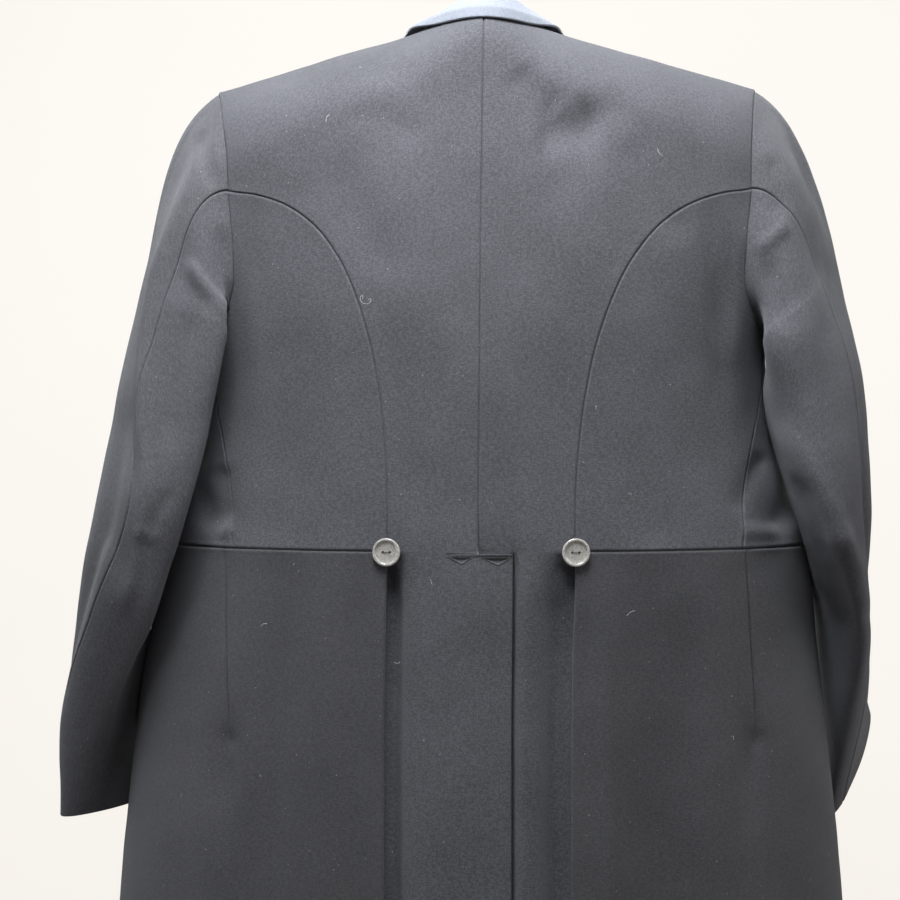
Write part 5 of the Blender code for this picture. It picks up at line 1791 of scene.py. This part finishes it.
@dataclass(frozen=True)
class Nodes:
    """Short ways to make and join the nodes of one tree."""

    tree: bpy.types.NodeTree

    def fill(self, node: bpy.types.Node, values: Inputs) -> None:
        """Set a node's inputs, or join them to what other nodes put out.

        Args:
            node: the node.
            values: a number, a colour or another node's socket for each input.
        """
        for name, value in values.items():
            if isinstance(value, Socket):
                self.tree.links.new(value, node.inputs[name])
            else:
                node.inputs[name].default_value = value

    def make(self, kind: str, values: Inputs | None = None, **settings: object) -> bpy.types.Node:
        """A new node with its settings.

        Args:
            kind: the node's type.
            values: what its inputs are given.
            settings: its properties by name.

        Returns:
            The node.
        """
        node = self.tree.nodes.new(kind)
        for name, value in settings.items():
            setattr(node, name, value)
        self.fill(node, values or {})
        return node

    def math(self, operation: str, one: Socket | float, two: Socket | float = 0.0) -> Socket:
        """The result of one sum on sockets or numbers."""
        return self.make("ShaderNodeMath", {0: one, 1: two}, operation=operation).outputs[0]

    def noise(self, vector: Socket, scale: float, detail: float = 2.0) -> Socket:
        """Noise read at a vector."""
        values = {"Vector": vector, "Scale": scale, "Detail": detail}
        return self.make("ShaderNodeTexNoise", values).outputs[0]

    def ramp(self, value: Socket, low: float, high: float, start: float = 0.0, end: float = 1.0) -> Socket:
        """A value carried from one range to another and held at its ends."""
        ends = {"Value": value, "From Min": low, "From Max": high, "To Min": start, "To Max": end}
        return self.make("ShaderNodeMapRange", ends, clamp=True).outputs[0]

    def blend(self, share: Socket, one: Color | Socket, two: Color) -> Socket:
        """A colour between two others, by a mask."""
        first = one if isinstance(one, Socket) else (*one, 1)
        return self.make("ShaderNodeMix", {0: share, 6: first, 7: (*two, 1)}, data_type="RGBA").outputs[2]

    def bump(self, height: Socket, strength: float, deep: float) -> Socket:
        """The direction out of a surface that a height raises."""
        values = {"Height": height, "Strength": strength, "Distance": deep}
        return self.make("ShaderNodeBump", values).outputs[0]


def blank(name: str) -> tuple[Material, Nodes, bpy.types.Node]:
    """A new material, with its nodes and its shader."""
    finish = bpy.data.materials.new(name)
    finish.use_nodes = True
    return finish, Nodes(finish.node_tree), finish.node_tree.nodes["Principled BSDF"]


@dataclass(frozen=True)
class Weave:
    """A fine broken-rib weave, as the node group that every cloth shares."""

    pitch: float = 0.0007
    rib_share: float = 0.55
    cross_share: float = 0.45
    cross_slope: float = 1.7
    fibre_fine: float = 640
    fibre_share: float = 0.4
    threads: tuple[tuple[Point, float], ...] = (((240, 1000, 1), 0.36), ((900, 260, 1), 0.24))
    fibre_range: tuple[float, float] = (0.43, 0.57)
    fuzz: float = 3
    speck_fine: float = 420
    speck_range: tuple[float, float] = (0.775, 0.82)
    cloud_fine: float = 11
    cloud_range: tuple[float, float] = (0.3, 0.7)

    def group(self) -> bpy.types.NodeTree:
        """Nodes that put out the weave's height, and masks of its fibres, its clouds and lint specks."""
        old = bpy.data.node_groups.get("worsted weave")
        if old:
            return old
        tree = bpy.data.node_groups.new("worsted weave", "ShaderNodeTree")
        pitch = tree.interface.new_socket("Pitch", in_out="INPUT", socket_type="NodeSocketFloat")
        pitch.default_value = self.pitch
        for name in ("Height", "Fibre", "Specks", "Cloud"):
            tree.interface.new_socket(name, in_out="OUTPUT", socket_type="NodeSocketFloat")
        n = Nodes(tree)
        start, end = n.make("NodeGroupInput"), n.make("NodeGroupOutput")
        cloth = n.make("ShaderNodeUVMap", uv_map="cloth").outputs[0]
        spot = n.make("ShaderNodeTexCoord").outputs["Object"]
        across, up, _ = n.make("ShaderNodeSeparateXYZ", {0: cloth}).outputs
        around = n.math("DIVIDE", 2 * np.pi, start.outputs["Pitch"])
        ribs = n.math("SINE", n.math("MULTIPLY", n.math("ADD", across, up), around))
        slant = n.math("SUBTRACT", up, n.math("MULTIPLY", across, self.cross_slope))
        cross = n.math("MULTIPLY", n.math("SINE", n.math("MULTIPLY", slant, around)), self.cross_share)
        weave = n.math("ADD", n.math("MULTIPLY", ribs, self.rib_share), cross)
        fibre = n.math("MULTIPLY", n.noise(spot, self.fibre_fine, 3), self.fibre_share)
        for fineness, share in self.threads:
            threads = n.make("ShaderNodeVectorMath", {0: cloth, 1: fineness}, operation="MULTIPLY").outputs[0]
            fibre = n.math("ADD", fibre, n.math("MULTIPLY", n.noise(threads, 1), share))
        fuzz = n.math("MULTIPLY", n.math("SUBTRACT", fibre, 0.5), self.fuzz)
        masks = {
            "Height": n.math("ADD", weave, fuzz),
            "Fibre": n.ramp(fibre, *self.fibre_range),
            "Specks": n.ramp(n.noise(spot, self.speck_fine, 1), *self.speck_range),
            "Cloud": n.ramp(n.noise(spot, self.cloud_fine, 4), *self.cloud_range),
        }
        n.fill(end, masks)
        return tree


@dataclass(frozen=True)
class Worsted:
    """A fine wool cloth with a soft nap."""

    name: str
    dark: Color
    light: Color
    cloud_share: float = 0.3
    fibre_share: float = 0.7
    speck: Color = (0.3, 0.3, 0.31)
    speck_share: float = 0.6
    roughness: tuple[float, float] = (0.76, 0.9)
    specular: float = 0.25
    sheen: float = 0.12
    sheen_roughness: float = 0.5
    tint: Color = (0.8, 0.83, 0.9)
    pitch: float = 0.0008
    bump: float = 0.5
    bump_deep: float = 0.00012

    def build(self) -> Material:
        """The cloth's material."""
        finish, n, shader = blank(self.name)
        weave = n.make("ShaderNodeGroup", node_tree=Weave().group())
        n.fill(weave, {"Pitch": self.pitch})
        height, fibre, specks, cloud = weave.outputs
        clouds = n.math("MULTIPLY", cloud, self.cloud_share)
        mix = n.math("ADD", clouds, n.math("MULTIPLY", fibre, self.fibre_share))
        plain = n.blend(mix, self.dark, self.light)
        values = {
            "Base Color": n.blend(n.math("MULTIPLY", specks, self.speck_share), plain, self.speck),
            "Roughness": n.ramp(fibre, 0, 1, *self.roughness),
            "Normal": n.bump(height, self.bump, self.bump_deep),
            "Sheen Weight": self.sheen,
            "Sheen Roughness": self.sheen_roughness,
            "Sheen Tint": (*self.tint, 1),
            "Specular IOR Level": self.specular,
        }
        n.fill(shader, values)
        return finish


@dataclass(frozen=True)
class Horn:
    """Polished dark horn, mottled and a little worn."""

    name: str = "button_horn"
    dark: Color = (0.155, 0.151, 0.14)
    light: Color = (0.325, 0.314, 0.292)
    mottle_fine: float = 800
    wear_fine: float = 1100
    roughness: tuple[float, float] = (0.16, 0.34)
    grain_fine: float = 700
    bump: float = 0.2
    bump_deep: float = 0.00005
    coat: float = 0.8
    coat_roughness: float = 0.12

    def build(self) -> Material:
        """The horn's material."""
        finish, n, shader = blank(self.name)
        spot = n.make("ShaderNodeTexCoord").outputs["Object"]
        mottle = n.ramp(n.noise(spot, self.mottle_fine, 3), 0.25, 0.75)
        values = {
            "Base Color": n.blend(mottle, self.dark, self.light),
            "Roughness": n.ramp(n.noise(spot, self.wear_fine), 0.3, 0.7, *self.roughness),
            "Normal": n.bump(n.noise(spot, self.grain_fine, 3), self.bump, self.bump_deep),
            "Coat Weight": self.coat,
            "Coat Roughness": self.coat_roughness,
        }
        n.fill(shader, values)
        return finish


@dataclass(frozen=True)
class Thread:
    """Twisted sewing thread, or a stray fibre."""

    name: str
    color: Color
    shade: float = 0.6
    twist_fine: float = 2500
    roughness: float = 0.6
    sheen: float = 0.3

    def build(self) -> Material:
        """The thread's material."""
        finish, n, shader = blank(self.name)
        spot = n.make("ShaderNodeTexCoord").outputs["Object"]
        dark = tuple(self.shade * part for part in self.color)
        color = n.blend(n.ramp(n.noise(spot, self.twist_fine), 0.35, 0.65), dark, self.color)
        n.fill(shader, {"Base Color": color, "Roughness": self.roughness, "Sheen Weight": self.sheen})
        return finish


@dataclass(frozen=True)
class Lamp:
    """A soft square light aimed at a point."""

    name: str
    at: Point
    aim: Point
    size: float
    power: float
    color: Color = (0.97, 0.98, 1.0)

    def build(self) -> None:
        """Hang the light."""
        lamp = bpy.data.lights.new(self.name, "AREA")
        lamp.size, lamp.energy, lamp.color = self.size, self.power, self.color
        hung = placed(self.name, lamp)
        hung.location = self.at
        hung.rotation_euler = (Vector(self.aim) - Vector(self.at)).to_track_quat("-Z", "Y").to_euler()


@dataclass
class Stage:
    """A plain cream wall and floor, soft light from above and the camera behind the coat."""

    wall_color: Color = (0.955, 0.91, 0.855)
    wall_shade: float = 0.985
    base: Color = (0.1, 0.1, 0.1)
    roughness: float = 0.9
    wall_glow: float = 0.885
    floor_glow: float = 0.25
    reach: float = 6
    wall_y: float = -1.2
    wall_ends: tuple[float, float] = (-1.5, 4)
    floor_z: float = -1.35
    camera: Point = (-0.004, 1.36, -0.365)
    camera_turn: float = 181.387
    lens: float = 61
    sensor: float = 36
    room: Color = (0.8, 0.88, 1.0)
    room_glow: float = 0.03
    lamps: tuple[Lamp, ...] = (
        Lamp("above", (0.1, 0.56, 0.66), (0, 0, -0.12), 0.55, 44, (0.97, 0.985, 1.0)),
        Lamp("front", (-0.6, 3.2, 0.6), (0, 0, -0.4), 2, 2),
        Lamp("side", (1.7, 0.8, 1.1), (0, 0, -0.2), 0.6, 14),
        Lamp("low", (1, 0.5, -0.8), (0.36, -0.02, -0.62), 0.35, 2.6),
        Lamp("fill", (-1.8, 1, 0.6), (0, 0, -0.2), 1.3, 25, (1.0, 0.99, 0.98)),
    )

    def build(self) -> None:
        """Build the wall, the floor, the lights and the camera."""
        far, y, z = self.reach, self.wall_y, self.floor_z
        low, high = self.wall_ends
        corners = [(far, y, low), (-far, y, low), (-far, y, high), (far, y, high)]
        wall = self.plane("backdrop", corners, self.paint("wall_paint", self.wall_glow))
        corners = [(-far, -far, z), (far, -far, z), (far, far, z), (-far, far, z)]
        floor = self.plane("floor", corners, self.paint("floor_paint", self.floor_glow))
        for lamp in self.lamps:
            lamp.build()
        world = bpy.data.worlds.new("room")
        bpy.context.scene.world = world
        world.use_nodes = True
        light = world.node_tree.nodes["Background"]
        Nodes(world.node_tree).fill(light, {0: (*self.room, 1), 1: self.room_glow})
        eye = bpy.data.cameras.new("camera")
        eye.lens, eye.sensor_width = self.lens, self.sensor
        seat = placed("camera", eye)
        seat.location = self.camera
        seat.rotation_euler = (np.radians(90), 0, np.radians(self.camera_turn))
        bpy.context.scene.camera = seat
        bpy.context.scene.view_settings.view_transform = "Standard"

    def paint(self, name: str, glow: float) -> Material:
        """Plain cream paint, softly lit from within and seen from its front alone.

        Args:
            name: the paint's name.
            glow: how strongly it shines.

        Returns:
            The material.
        """
        finish, n, shader = blank(name)
        spot = n.make("ShaderNodeTexCoord").outputs["Object"]
        shaded = tuple(self.wall_shade * part for part in self.wall_color)
        values = {
            "Emission Color": n.blend(n.ramp(n.noise(spot, 2, 3), 0.3, 0.7), shaded, self.wall_color),
            "Emission Strength": glow,
            "Alpha": n.math("SUBTRACT", 1.0, n.make("ShaderNodeNewGeometry").outputs["Backfacing"]),
            "Base Color": (*self.base, 1),
            "Roughness": self.roughness,
        }
        n.fill(shader, values)
        return finish

    @staticmethod
    def plane(name: str, corners: list[Point], paint: Material) -> Piece:
        """A flat rectangle of the stage."""
        mesh = bpy.data.meshes.new(name)
        mesh.from_pydata(corners, [], [(0, 1, 2, 3)])
        mesh.materials.append(paint)
        return placed(name, mesh)


def main() -> None:
    """Build the coat, its thread and its stage, in the order a tailor would."""
    logging.basicConfig(level=logging.INFO, format="%(name)s: %(message)s")
    body = Worsted("worsted_body", (0.029, 0.03, 0.034), (0.072, 0.073, 0.084)).build()
    # The skirts' worsted is the body's cloth made darker: painted shade for the weaker light low on the coat.
    skirts = Worsted("worsted_skirts_painted_shade", (0.024, 0.024, 0.027), (0.052, 0.052, 0.057)).build()
    sleeves = Worsted("worsted_sleeves", (0.031, 0.031, 0.035), (0.073, 0.074, 0.083)).build()
    # The under sleeves' worsted is the top sleeves' cloth a touch darker and bluer: painted bluish shade on
    # the side turned in to the body.
    under = Worsted("worsted_under_sleeves_painted_shade", (0.03, 0.03, 0.035), (0.07, 0.071, 0.081)).build()
    lapel = Worsted("worsted_lapels", (0.031, 0.031, 0.035), (0.073, 0.074, 0.083)).build()
    # The collar's cloth is the coat's dark worsted made several times lighter and bluer: painted light from
    # the lamp above.
    collar = Worsted("collar_cloth", (0.134, 0.149, 0.177), (0.184, 0.201, 0.235), sheen=0.2).build()
    thread = Thread("sewing_thread", (0.012, 0.012, 0.014)).build()
    lint = Thread("lint_fibre", (0.55, 0.55, 0.55)).build()
    horn = Horn().build()
    Backs().build(body)
    SideBodies().build(body)
    Foreparts().build(body)
    Skirts().build(skirts)
    Sleeves().build(sleeves, under)
    Lapels().build(lapel)
    Collar().build(collar)
    Buttons().build(horn, thread)
    Stitches().build(thread)
    Lint().build(lint)
    Stage().build()


if __name__ == "__main__":
    main()
